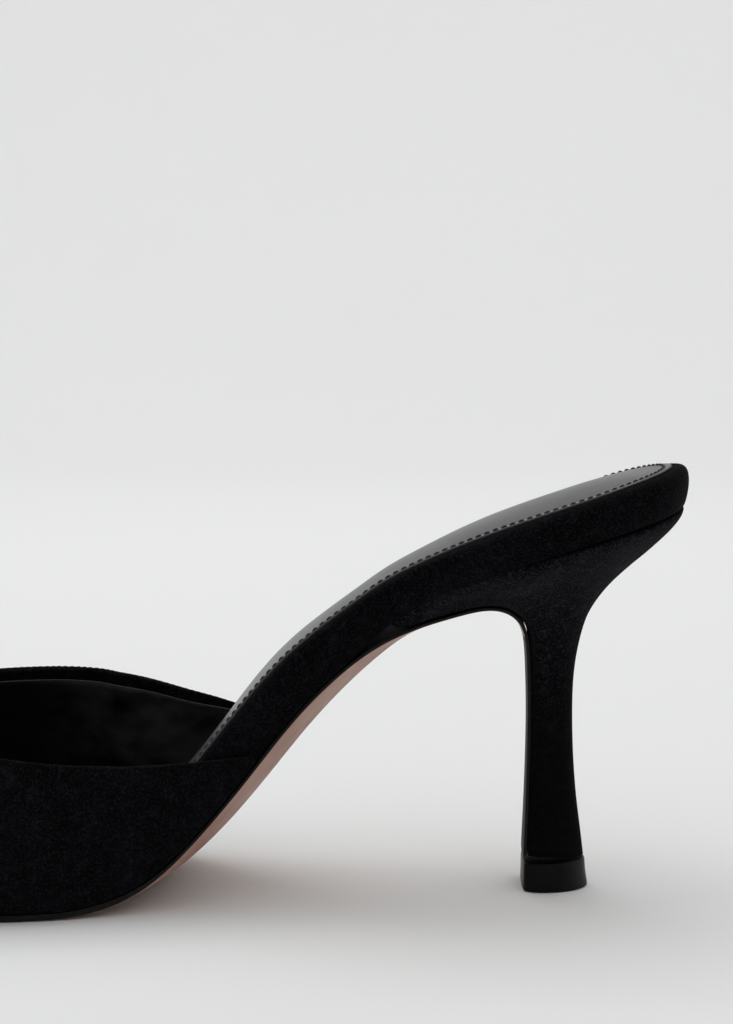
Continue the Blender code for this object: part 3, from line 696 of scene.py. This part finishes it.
def sock_inset(x, drawn):
    """Distance from the bed's edge; the margin outside the seam widens towards the heel's back."""
    margin = drawn + soft(*BACK_WIDENS, x) * (SHORTER + SEAM_SHORTER * min(1.0, drawn / SEAM_SIDE))
    wider = VAMP_WIDER * (1 - soft(*INTO_VAMP, x))
    return tucked(x) + SOCK_INSET + margin - lean(x, bed_thickness(x)) - wider


def sock_ring(drawn, rise):
    def inset(x):
        return sock_inset(x, drawn)
    stations = np.concatenate([seat_stations(float(inset(REAR_X)), 9), seat_list, COMMON,
                               toe_stations(float(inset(TOE_X)), 11)])
    outer = np.array([edge(x, inset(x), -1) for x in stations])
    inner = np.array([edge(x, inset(x), 1) for x in stations])

    def height(x, y):
        return bed_thickness(x) + top_shape(x, y) + GAP + rise * SOCK_LEATHER
    return (stations, outer, inner, REAR_X - float(inset(REAR_X)), TOE_X + float(inset(TOE_X)), height)


sock_leather = Finish("sock_leather", 0.4, Specular_IOR_Level=0.7, Coat_Weight=0.5, Coat_Roughness=0.35)
creases = sock_leather.noise(900, 4)
clouds = sock_leather.noise(45, 3)
cloudy = sock_leather.clear(clouds, 0.35, 0.7)
sock_leather.feed("Base Color", sock_leather.blend(cloudy, SOCK_BLACK, SOCK_GREY))
sock_leather.feed("Roughness", 0.26 + clouds * 0.3)
sock_leather.bump(creases, 0.02)
cut_edge = Finish("cut_edge", 0.7, Specular_IOR_Level=0.3)
raw = cut_edge.noise(1400, 3)
cut_edge.feed("Base Color", cut_edge.blend(raw, RAW_BLACK, RAW_GREY))
cut_edge.bump(raw, 0.05)
points, faces, bands = plate(last, [sock_ring(*ring) for ring in SOCK_RINGS], 5)
piece("sock_lining", points, faces, [sock_leather, cut_edge], "sock",
      wears=[int(b in (0, 1, 2)) for b in bands])

# Thread: one row of black lock stitches in the sock's groove, round the seat from wing to wing.
THREAD = 0.32         # radius
STITCH = 1.3
STITCH_GAP = 0.62
STITCH_RISE = 0.12    # a stitch arches this much over its ends,
STITCH_SUNK = 0.08    # which lie this far in the groove
PULLED_TIGHT = 12.0   # forward of here the inner row is pulled deeper, by PULLED_IN
PULLED_IN = 0.3
SEAM_FRONT = -100
FIRST_STITCH = 0.5
THREAD_BLACK = (0.004, 0.004, 0.005)
THREAD_GREY = (0.014, 0.014, 0.016)
seat_x = seat_stations(float(sock_inset(REAR_X, SEAM_INSET)), 60)[::-1]
row_x = np.concatenate([np.linspace(SEAM_FRONT, SEAT_JOIN, 240), seat_x])
row_y = np.array([edge(x, sock_inset(x, SEAM_INSET), -1) for x in row_x])
far_y = np.array([edge(x, sock_inset(x, SEAM_INSET), 1) for x in row_x])
row_x = np.concatenate([row_x, [REAR_X - float(sock_inset(REAR_X, SEAM_INSET))], row_x[::-1]])
row_y = np.concatenate([row_y, [0.0], far_y[::-1]])
seam = last.place(row_x, row_y, bed_thickness(row_x) + top_shape(row_x, row_y) + GAP + SOCK_LEATHER)
seam_run = np.concatenate([[0], np.cumsum(np.linalg.norm(np.diff(seam, axis=0), axis=1))])
points, faces = [], []


def thread(line, radius, sides=6):
    """Adds a rounded length of thread along points in millimetres."""
    first = len(points)
    count_along = len(line)
    ahead = np.gradient(line, axis=0)
    for k in range(count_along):
        t = ahead[k] / np.linalg.norm(ahead[k])
        a = np.cross(t, (0, 0.3, 1.0))
        a /= np.linalg.norm(a)
        b = np.cross(t, a)
        share = k / (count_along - 1)
        r = radius * max(0.25, math.sin(math.pi * min(max(share, 0.04), 0.96)) ** 0.35)
        for s in range(sides):
            turn = 2 * math.pi * s / sides
            points.append(line[k] + r * (math.cos(turn) * a + math.sin(turn) * b))
    for k in range(count_along - 1):
        row = first + k * sides
        band(faces, list(range(row, row + sides)), list(range(row + sides, row + 2 * sides)))
    faces.append(tuple(range(first, first + sides)))
    faces.append(tuple(range(first + (count_along - 1) * sides, first + count_along * sides))[::-1])


at = FIRST_STITCH
while at + STITCH < seam_run[-1]:
    run = np.linspace(at, at + STITCH, 6)
    bit = np.stack([np.interp(run, seam_run, seam[:, c]) for c in range(3)], -1)
    bit[:, 2] += STITCH_RISE * np.sin(np.linspace(0, math.pi, 6)) - STITCH_SUNK
    if bit[0, 1] > 0 and bit[0, 0] < PULLED_TIGHT:
        bit[:, 2] -= PULLED_IN
    thread(bit, THREAD)
    at += STITCH + STITCH_GAP
thread_finish = Finish("thread", 0.6, Specular_IOR_Level=0.35)
ply = thread_finish.noise(3000, 2)
thread_finish.feed("Base Color", thread_finish.blend(ply, THREAD_BLACK, THREAD_GREY))
thread_finish.bump(ply, 0.05)
piece("sock_stitches", points, faces, [thread_finish], levels=0)

# Vamp: velvet on a stiffened lining, lasted over the footbed and folded in at the topline, where
# the fold gathers into small slanting puckers.

# Topline height against x on the outer and on the inner side.
TOPLINE = [
    (-170.0, 39.6, 40.4),
    (-154.0, 39.4, 41.0),
    (-144.0, 38.6, 42.2),
    (-132.0, 36.6, 43.2),
    (-118.0, 34.3, 43.6),
    (-105.0, 32.5, 43.3),
    (-94.0, 31.8, 41.8),
    (-84.0, 32.1, 39.3),
    (-76.0, 32.8, 37.4),
    (-64.0, 33.5, 33.9),
    (-50.0, 33.9, 33.9),
]
# Vamp columns from the sole's edge up towards the instep's ridge:
# x at the edge, x of the ridge, height of the ridge above the sole, roundness.
VAMP = [
    (-198.5, -125.0, 49.0, 1.38),
    (-180.0, -123.0, 50.0, 1.48),
    (-160.0, -120.0, 52.0, 1.75),
    (-140.0, -116.0, 55.0, 2.10),
    (-120.0, -108.0, 58.0, 2.30),
    (-105.0, -100.0, 60.0, 2.30),
    (-90.0, -90.0, 60.0, 2.30),
    (-60.0, -60.0, 60.0, 2.30),
]
ridge_x = spline(VAMP, 1)
ridge_h = spline(VAMP, 2)
roundness = line(VAMP, 3)
outer_top = spline(TOPLINE, 1)
inner_top = spline(TOPLINE, 2)
WING_TIP = -64.6
RIDGE_Y = 3.0
INSIDE = (-110.0, 2.0)     # a place inside the vamp's plan
LEVELS = (3, 22)           # between these heights the vamp turns upright,
LEVELLED = 0.65            # by this share
ACROSS_TOP = (-16, 20)     # between these y the topline goes from the outer side's to the inner's
WING_WALL = 0.9
THINNED = (-77, -65)       # the wall thins to WING_WALL here
wing_part = np.concatenate([np.linspace(WING_TIP, TOE_JOIN, 190), toe_stations(0.0, 110)])
plan_line = [(x, float(edge(x, 0.0, -1))) for x in wing_part] + [(TOE_X, TOE_SIDE)]
plan_line += [(x, float(edge(x, 0.0, 1))) for x in wing_part[::-1]]
plan_line = np.array(plan_line)
tangent = np.gradient(plan_line, axis=0)
outward = np.stack([-tangent[:, 1], tangent[:, 0]], -1)
outward /= np.linalg.norm(outward, axis=1)[:, None]
outward *= np.sign(np.sum(outward * (plan_line - INSIDE), axis=1))[:, None]
ROWS = 34
phi = np.linspace(0, math.pi / 2, 500)
outer_shell = []
for (fx, fy), (nx, ny) in zip(plan_line, outward):
    power = 2 / roundness(fx)
    inwards = 1 - np.cos(phi).clip(0) ** power
    h = GAP + ridge_h(fx) * np.sin(phi) ** power
    out = lean(fx, h)
    px = fx + (ridge_x(fx) - fx) * inwards + nx * out
    py = fy + (RIDGE_Y - fy) * inwards + ny * out
    turn_up = np.interp(px, last.p, last.angle) * (1 - LEVELLED * soft(*LEVELS, h))
    climb = np.diff(h, prepend=0.0)
    column = last.place(px, py, 0.0)
    column[:, 0] -= np.cumsum(climb * np.sin(turn_up))
    column[:, 2] += np.cumsum(climb * np.cos(turn_up))
    share = soft(*ACROSS_TOP, column[:, 1])
    top = outer_top(column[:, 0]) * (1 - share) + inner_top(column[:, 0]) * share
    over = np.nonzero(column[:, 2] > top)[0]
    stop = max(int(over[0]) if len(over) else len(phi) - 1, 3)
    reach = np.concatenate([[0], np.cumsum(np.linalg.norm(np.diff(column[:stop + 1], axis=0), axis=1))])
    above, below = column[stop, 2] - top[stop], top[stop - 1] - column[stop - 1, 2]
    full = reach[-1] - (reach[-1] - reach[-2]) * above / max(above + below, 1e-6)
    wanted = full * (1 - (1 - np.linspace(0, 1, ROWS)) ** 1.8)
    outer_shell.append(np.stack([np.interp(wanted, reach, column[:stop + 1, c]) for c in range(3)], -1))
outer_shell = np.array(outer_shell)
columns = len(outer_shell)
facing = np.cross(np.gradient(outer_shell, axis=0), np.gradient(outer_shell, axis=1))
facing[:, 0, 2] = 0.0
facing /= np.linalg.norm(facing, axis=2)[:, :, None]
if facing[60, 10, 1] > 0:
    facing = -facing
for j in range(ROWS):
    for c in range(3):
        facing[:, j, c] = averaged(facing[:, j, c], 2)
facing /= np.linalg.norm(facing, axis=2)[:, :, None]
wall = WING_WALL + (WALL - WING_WALL) * (1 - soft(*THINNED, plan_line[:, 0]))
inner_shell = outer_shell - facing * wall[:, None, None]

# The puckers: shallow gathers with a slightly uneven spacing, deepest at the fold.
PUCKER = 0.24
PUCKER_PITCH = 1.55
PUCKER_REACH = 2.1
FAR_EASED = 0.6            # the inner side's gathers are shallower by this share
TO_INNER = (-8, 12)
WAVINESS = 0.10            # broad unevenness of the velvet over the wall
topline = outer_shell[:, -1]
top_run = np.concatenate([[0], np.cumsum(np.linalg.norm(np.diff(topline, axis=0), axis=1))])
down = np.linalg.norm(outer_shell - topline[:, None], axis=2)
uneven = 0.5 * np.sin(top_run * 0.31) + 0.35 * np.sin(top_run * 0.83 + 1.0)
strength = 0.65 + 0.35 * np.sin(top_run * 0.19 + 0.6)
wave = np.sin(2 * math.pi * (top_run[:, None] - 0.7 * down) / PUCKER_PITCH + uneven[:, None])
strength = strength * (1 - FAR_EASED * soft(*TO_INNER, topline[:, 1]))
gather = PUCKER * strength[:, None] * (wave - 0.4) * np.exp(-(down / PUCKER_REACH) ** 1.5)
broad = WAVINESS * np.sin(top_run / 7.3)[:, None] * np.sin(math.pi * np.clip(down / 30, 0, 1))
dressed_shell = outer_shell + facing * (gather + broad)[:, :, None]
up = outer_shell[:, -1] - outer_shell[:, -3]
up /= np.linalg.norm(up, axis=1)[:, None]
FOLD = 9
FOLD_RISE = 0.75
middle = (dressed_shell[:, -1] + inner_shell[:, -1]) / 2
half_wall = (dressed_shell[:, -1] - inner_shell[:, -1]) / 2
turns = np.linspace(0, math.pi, FOLD + 2)[1:-1]
fold_rise = np.linalg.norm(half_wall, axis=1) * FOLD_RISE
roll = [middle + half_wall * math.cos(t) + up * (fold_rise * math.sin(t))[:, None] for t in turns]
loops = np.concatenate([dressed_shell, np.stack(roll, 1), inner_shell[:, ::-1]], axis=1)
per = loops.shape[1]
points = loops.reshape(-1, 3)
faces = []
for i in range(columns - 1):
    for j in range(per):
        k = (j + 1) % per
        faces.append((i * per + j, i * per + k, (i + 1) * per + k, (i + 1) * per + j))
for i in (0, columns - 1):
    for j in range(ROWS - 1):
        faces.append((i * per + j, i * per + j + 1, i * per + per - 2 - j, i * per + per - 1 - j))
    faces.append(tuple(i * per + j for j in range(ROWS - 1, ROWS + FOLD + 1)))
piece("vamp_velvet", points, faces, [velvet], "upper", levels=0)

# Vamp lining: smooth black leather glued inside the vamp, its cut edge a little below the fold; a soft
# highlight towards the vamp's back is painted into its colour.
LINING_DROP = 2.3        # from the fold down to the lining's cut edge
LINING = 0.4             # thickness, whole where the wall is taller than LINING_WHOLE
LINING_WHOLE = 8.0
LINING_BEHIND = 0.03
LINING_ROWS = 26
LINING_BLACK = (0.0012, 0.0012, 0.0014)
# Colour of the lining's painted highlight, and the x range in metres over which it fades in towards the
# back:
LINING_HIGHLIGHT_COLOUR = (0.021, 0.021, 0.0225)
LINING_HIGHLIGHT_SPAN = (-0.124, -0.104)
lining_leather = Finish("lining_leather", 0.5, Specular_IOR_Level=0.12)
blotches = lining_leather.noise(75, 3, (1, 1, 1.6))
# Painted highlight: lighter behind the x range, broken up into blotches.
painted_highlight = lining_leather.clear(lining_leather.along(0), *LINING_HIGHLIGHT_SPAN)
painted_highlight = painted_highlight * lining_leather.clear(blotches, 0.36, 0.6)
lining_leather.feed("Base Color", lining_leather.blend(painted_highlight, LINING_BLACK, LINING_HIGHLIGHT_COLOUR))
lining_leather.feed("Roughness", 0.4 + blotches * 0.2)
lining_leather.bump(lining_leather.noise(900, 4), 0.02)
low, high = 2, columns - 2
back_sheet, front_sheet = [], []
for i in range(low, high):
    rise = np.concatenate([[0], np.cumsum(np.linalg.norm(np.diff(inner_shell[i], axis=0), axis=1))])
    drop = min(LINING_DROP, 0.4 * rise[-1])
    wanted = np.linspace(0, rise[-1] - drop, LINING_ROWS)
    behind = np.stack([np.interp(wanted, rise, inner_shell[i, :, c]) for c in range(3)], -1)
    inward = np.stack([np.interp(wanted, rise, -facing[i, :, c]) for c in range(3)], -1)
    back_sheet.append(behind + inward * LINING_BEHIND)
    front_sheet.append(behind + inward * LINING * min(1.0, rise[-1] / LINING_WHOLE))
back_sheet, front_sheet = np.array(back_sheet), np.array(front_sheet)
loops = np.concatenate([front_sheet, back_sheet[:, ::-1]], axis=1)
per = loops.shape[1]
points = loops.reshape(-1, 3)
faces, wears = [], []
for i in range(len(loops) - 1):
    for j in range(per):
        k = (j + 1) % per
        faces.append((i * per + j, i * per + k, (i + 1) * per + k, (i + 1) * per + j))
        wears.append(int(j == LINING_ROWS - 1))
for i in (0, len(loops) - 1):
    for j in range(LINING_ROWS - 1):
        faces.append((i * per + j, i * per + j + 1, i * per + per - 2 - j, i * per + per - 1 - j))
        wears.append(0)
piece("vamp_lining", points, faces, [lining_leather, cut_edge], levels=0, wears=wears)

# Heel: a hard core covered in the same velvet, glued tight round it and closed under the sole's
# flap at the front.

# Heel sections from the cap up: front x and z on the breast, back x and z, half width,
# share of the seat's plan in the outline, upward bow along the foot.
HEEL = [
    (-6.3, 6.9, 6.5, 6.9, 7.70, 0.00, 0.0),
    (-6.1, 12.0, 5.9, 12.0, 7.00, 0.00, 0.0),
    (-5.7, 20.0, 4.75, 20.0, 6.20, 0.00, 0.0),
    (-5.5, 30.0, 3.95, 30.0, 5.75, 0.00, 0.0),
    (-5.5, 40.0, 3.7, 40.0, 5.65, 0.00, 0.0),
    (-5.6, 46.5, 3.9, 47.5, 5.85, 0.00, 0.0),
    (-5.9, 52.5, 4.75, 53.5, 6.40, 0.00, 0.0),
    (-6.2, 56.6, 6.1, 58.9, 7.25, 0.00, 0.0),
    (-6.9, 59.0, 7.3, 61.9, 8.10, 0.02, 0.0),
    (-7.9, 60.8, 9.1, 64.7, 9.30, 0.06, 0.1),
    (-9.0, 62.0, 10.8, 66.9, 10.50, 0.12, 0.2),
    (-10.4, 63.0, 12.6, 68.9, 11.80, 0.20, 0.4),
    (-12.4, 63.8, 14.8, 71.0, 13.50, 0.31, 0.7),
    (-15.0, 64.2, 17.0, 73.0, 15.30, 0.42, 1.0),
    (-18.0, 64.1, 19.3, 74.9, 17.10, 0.53, 1.4),
    (-21.0, 63.7, 21.4, 76.8, 18.80, 0.64, 1.8),
    (-28.0, 62.1, 25.2, 80.4, 21.70, 0.84, 2.7),
    (-34.0, 60.0, 27.7, 83.5, 23.80, 0.96, 3.5),
]
# Plan of the lower heel and its cap: share from front to back, share of the half width.
HORSESHOE = [
    (0.00, 0.74),
    (0.04, 0.85),
    (0.09, 0.92),
    (0.16, 0.97),
    (0.27, 1.00),
    (0.40, 0.98),
    (0.53, 0.93),
    (0.66, 0.85),
    (0.78, 0.72),
    (0.88, 0.54),
    (0.95, 0.35),
    (0.985, 0.19),
]
# Bow of the heel's upper sections: share from front to back, share of the bow.
BOW = [
    (0.00, 0.00),
    (0.06, 0.63),
    (0.12, 0.92),
    (0.22, 1.00),
    (0.39, 0.93),
    (0.58, 0.72),
    (0.74, 0.50),
    (0.87, 0.26),
    (1.00, 0.00),
]
HEEL_LIP = -38.0      # front end of the seat's plan
SEAT_SHORT = 0.6      # and its distance from the bed's back end
SEAT_HALF = 24.0      # and its widest half width
PLAN_INSET = 0.5
COVER = 0.5           # the cover stands out this much at the seat's front
SEAT_RIM = 0.15
BLEND_RISE = 1.6      # forward of the seat the cover runs up into the footbed's by this much,
BLENDED = (-22, 8)    # and not at all behind these
HEEL_PILE = (0.0014, 0.0014, 0.0018)
HEEL_PILE_LIT = (0.026, 0.0265, 0.031)
# Heights in metres over which the heel's velvet turns lighter upwards: painted light from above, painted
# shade near the cap.
HEEL_PAINTED_LIGHT_HEIGHTS = (0.03, 0.066)
bow = spline(BOW, 1)
turns = [r[0] for r in HORSESHOE]
low_plan = np.array([r[1] for r in HORSESHOE])
front_cols = 3


def seat_share(t):
    """Half width of the seat's plan at share t from the lip to the back, over its widest."""
    x = HEEL_LIP + np.asarray(t) * (REAR_X - SEAT_SHORT - HEEL_LIP)
    return -edge(x, PLAN_INSET, -1) / SEAT_HALF, edge(x, PLAN_INSET, 1) / SEAT_HALF


def heel_loop(row):
    """One section of the cover: near side, back, far side and the breast under the sole's flap."""
    fx, fz, bx, bz, half, share, rise = row
    p = sole.nearest(fx, fz)
    t = np.array(turns)
    outer_plan, inner_plan = seat_share(t)
    near = -half * ((1 - share) * low_plan + share * outer_plan) - COVER * share * (1 - t)
    far = half * ((1 - share) * low_plan + share * inner_plan) + COVER * share * (1 - t)
    front = sole.place(p, 0.0, GLUED)
    x = front[0] + t * (bx - front[0])
    z = front[2] + t * (bz - front[2]) + rise * bow(t)
    inside = np.linspace(far[0], near[0], front_cols + 2)[1:-1]
    half_sole = np.abs(np.where(inside < 0, sole_half(p, -1, 0.0), sole_half(p, 1, 0.0)))
    bulge = sole_belly(min(p, BELLY_END)) * np.clip(1 - (inside / half_sole) ** 2, 0, 1)
    loop = [(a, b, c) for a, b, c in zip(x, near, z)]
    loop.append((bx, 0.0, bz))
    loop += [(a, b, c) for a, b, c in zip(x, far, z)][::-1]
    loop += [tuple(sole.place(p, y, GLUED - d)) for y, d in zip(inside, bulge)]
    return loop


def under(x, y):
    """A point of the cover's top, glued to the footbed's underside."""
    risen = BLEND_RISE * (1 - soft(*BLENDED, x))
    return tuple(last.place(x, y, risen - GLUED - belly(bed_belly, x, y)))


def heel_x(t):
    """Place along the foot at share t from the breast to the seat's back."""
    return BREAST_TOP + t * (REAR_X - SEAT_RIM - BREAST_TOP)


def seat_loop():
    x = heel_x(np.array(turns))
    near, far = edge(x, SEAT_RIM, -1), edge(x, SEAT_RIM, 1)
    loop = [under(a, b) for a, b in zip(x, near)]
    loop.append(under(REAR_X - SEAT_RIM, 0.0))
    loop += [under(a, b) for a, b in zip(x, far)][::-1]
    loop += [under(x[0], y) for y in np.linspace(far[0], near[0], front_cols + 2)[1:-1]]
    return loop


def stacked(loops):
    """Points and faces of the wall through loops, and each loop's point numbers."""
    points, faces, numbers = [], [], []
    for loop in loops:
        numbers.append(list(range(len(points), len(points) + len(loop))))
        points += loop
    for a, b in zip(numbers, numbers[1:]):
        band(faces, a, b)
    return points, faces, numbers


loops = [heel_loop(row) for row in HEEL] + [seat_loop()]
points, faces, numbers = stacked(loops)
count = len(turns)
for number, loop, top in ((numbers[0], loops[0], False), (numbers[-1], loops[-1], True)):
    rows = [[number[0], *number[:2 * count:-1], number[2 * count]]]
    for i in range(1, count):
        a, b = np.array(loop[i]), np.array(loop[2 * count - i])
        row = [number[i]]
        for k in range(1, front_cols + 1):
            mid = a + (b - a) * k / (front_cols + 1)
            if top:
                mid = under(heel_x(turns[i]), mid[1])
            row.append(len(points))
            points.append(tuple(mid))
        row.append(number[2 * count - i])
        rows.append(row)
    fill(faces, rows, (None, number[count]))
# The heel's velvet carries painted light: darker near the cap, lighter towards the seat.
heel_velvet = velvet_finish("heel_velvet", HEEL_PILE, HEEL_PILE_LIT, HEEL_PAINTED_LIGHT_HEIGHTS)
piece("heel_cover", points, faces, [heel_velvet], "heel")

# Wear cap: a moulded block of hard black plastic pinned into the heel's end; a highlight towards its
# back is painted into its colour, and scuffs lighten it at random.
CAP_HEIGHT = 6.6
CAP_BLACK = (0.002, 0.002, 0.0023)
# Lighter colour of the cap, for its painted highlight and its scuffs; the highlight fades in over the x
# range in metres below.
CAP_SCUFF_AND_HIGHLIGHT_COLOUR = (0.011, 0.011, 0.012)
CAP_HIGHLIGHT_SPAN = (0.001, 0.0045)


def cap_loop(front, back, half, z):
    t = np.array(turns)
    x = front + t * (back - front)
    y = half * low_plan
    loop = [(a, -b, z) for a, b in zip(x, y)] + [(back, 0.0, z)]
    return loop + [(a, b, z) for a, b in zip(x, y)][::-1]


# The cap's rings from the floor up: front x, back x, half width, height.
CAP_RINGS = [(-7.0, 7.0, 8.0, 0.0), (-7.4, 7.4, 8.4, 0.12), (-7.5, 7.5, 8.5, 0.45), (-7.48, 7.3, 8.4, 1.6),
             (-7.45, 7.0, 8.2, CAP_HEIGHT / 2), (-7.42, 6.85, 8.05, CAP_HEIGHT - 1.0),
             (-7.36, 6.75, 7.95, CAP_HEIGHT - 0.25), (-7.1, 6.5, 7.7, CAP_HEIGHT)]
points, faces, numbers = stacked([cap_loop(*ring) for ring in CAP_RINGS])
for number in (numbers[0], numbers[-1]):
    rows = [[number[i], number[2 * count - i]] for i in range(count)]
    fill(faces, rows, (None, number[count]))
cap_plastic = Finish("cap_plastic", 0.3, Specular_IOR_Level=0.08)
scuffs = cap_plastic.noise(160, 5, (1, 1, 2.5))
# Painted highlight towards the cap's back, with lighter scuffs at random.
cap_highlight = cap_plastic.clear(cap_plastic.along(0), *CAP_HIGHLIGHT_SPAN) * 0.8
lighter = cap_highlight + cap_plastic.clear(scuffs, 0.5, 0.8) * 0.2
cap_plastic.feed("Base Color", cap_plastic.blend(lighter, CAP_BLACK, CAP_SCUFF_AND_HIGHLIGHT_COLOUR))
cap_plastic.feed("Roughness", 0.24 + scuffs * 0.2)
cap_plastic.bump(cap_plastic.noise(700, 2), 0.008)
piece("heel_cap", points, faces, [cap_plastic], "top_piece")

# Stage: a pale seamless bowl for floor and backdrop with a grey flag above the picture, one broad
# soft light overhead, one on the backdrop and a weak one from the camera's side.
FLOOR_RADIUS = 1.25
CURVE = 0.9               # radius of the bend from floor to backdrop
RISE = 0.45               # height of the backdrop above the bend
FLAG_FROM = 0.56          # the flag covers the backdrop above this height
AROUND = 96
SHADE = (0.80, 0.803, 0.80)
FLAG = (0.10, 0.10, 0.10)
ROOM_COLOUR = (0.965, 0.97, 0.97, 1)
ROOM_LIGHT = 0.925
profile = [(r, 0.0) for r in (0.12, 0.3, 0.6, 0.95, FLOOR_RADIUS)]
profile += [(FLOOR_RADIUS + CURVE * math.sin(t), CURVE * (1 - math.cos(t)))
            for t in np.linspace(0, math.pi / 2, 13)[1:]]
profile.append((FLOOR_RADIUS + CURVE, CURVE + RISE))
floor_points = [(0.0, 0.0, 0.0)]
for radius, z in profile:
    floor_points += [(radius * math.cos(a), radius * math.sin(a), z)
                     for a in np.linspace(0, 2 * math.pi, AROUND, endpoint=False)]
floor_faces = [(0, 1 + i, 1 + (i + 1) % AROUND) for i in range(AROUND)]
flagged = [0] * AROUND
for k in range(len(profile) - 1):
    for i in range(AROUND):
        a, b = 1 + k * AROUND + i, 1 + k * AROUND + (i + 1) % AROUND
        floor_faces.append((a, a + AROUND, b + AROUND, b))
        flagged.append(int(profile[k][1] > FLAG_FROM))
floor_mesh = bpy.data.meshes.new("floor")
floor_mesh.from_pydata(floor_points, [], floor_faces)
floor_mesh.polygons.foreach_set("use_smooth", np.ones(len(floor_mesh.polygons), bool))
for name, shade in (("backdrop_paper", SHADE), ("flag_cloth", FLAG)):
    paper = Finish(name, 0.75, Specular_IOR_Level=0.2)
    paper.feed("Base Color", paper.blend(paper.noise(3, 2), shade, tuple(c * 0.985 for c in shade)))
    floor_mesh.materials.append(paper.material)
floor_mesh.polygons.foreach_set("material_index", np.array(flagged, np.int32))
floor = bpy.data.objects.new("floor", floor_mesh)
bpy.context.scene.collection.objects.link(floor)


def softbox(name, place, size, power, towards):
    lamp = bpy.data.lights.new(name, "AREA")
    lamp.shape = "RECTANGLE"
    lamp.size, lamp.size_y = size
    lamp.energy = power
    item = bpy.data.objects.new(name, lamp)
    item.location = place
    aim = np.array(towards) - np.array(place)
    item.rotation_euler = Vector(aim).to_track_quat("-Z", "Y").to_euler()
    bpy.context.scene.collection.objects.link(item)


softbox("overhead_light", (-0.35, 0.35, 1.5), (1.3, 1.1), 6.3, (-0.05, 0.0, 0.0))
softbox("backdrop_light", (0.0, 1.0, 1.5), (1.8, 0.5), 5.4, (0.0, 2.0, 0.2))
softbox("front_light", (0.5, -1.3, 0.9), (0.9, 0.9), 1.2, (-0.05, 0.0, 0.05))
world = bpy.data.worlds.new("room")
world.use_nodes = True
world.node_tree.nodes["Background"].inputs["Color"].default_value = ROOM_COLOUR
world.node_tree.nodes["Background"].inputs["Strength"].default_value = ROOM_LIGHT
bpy.context.scene.world = world
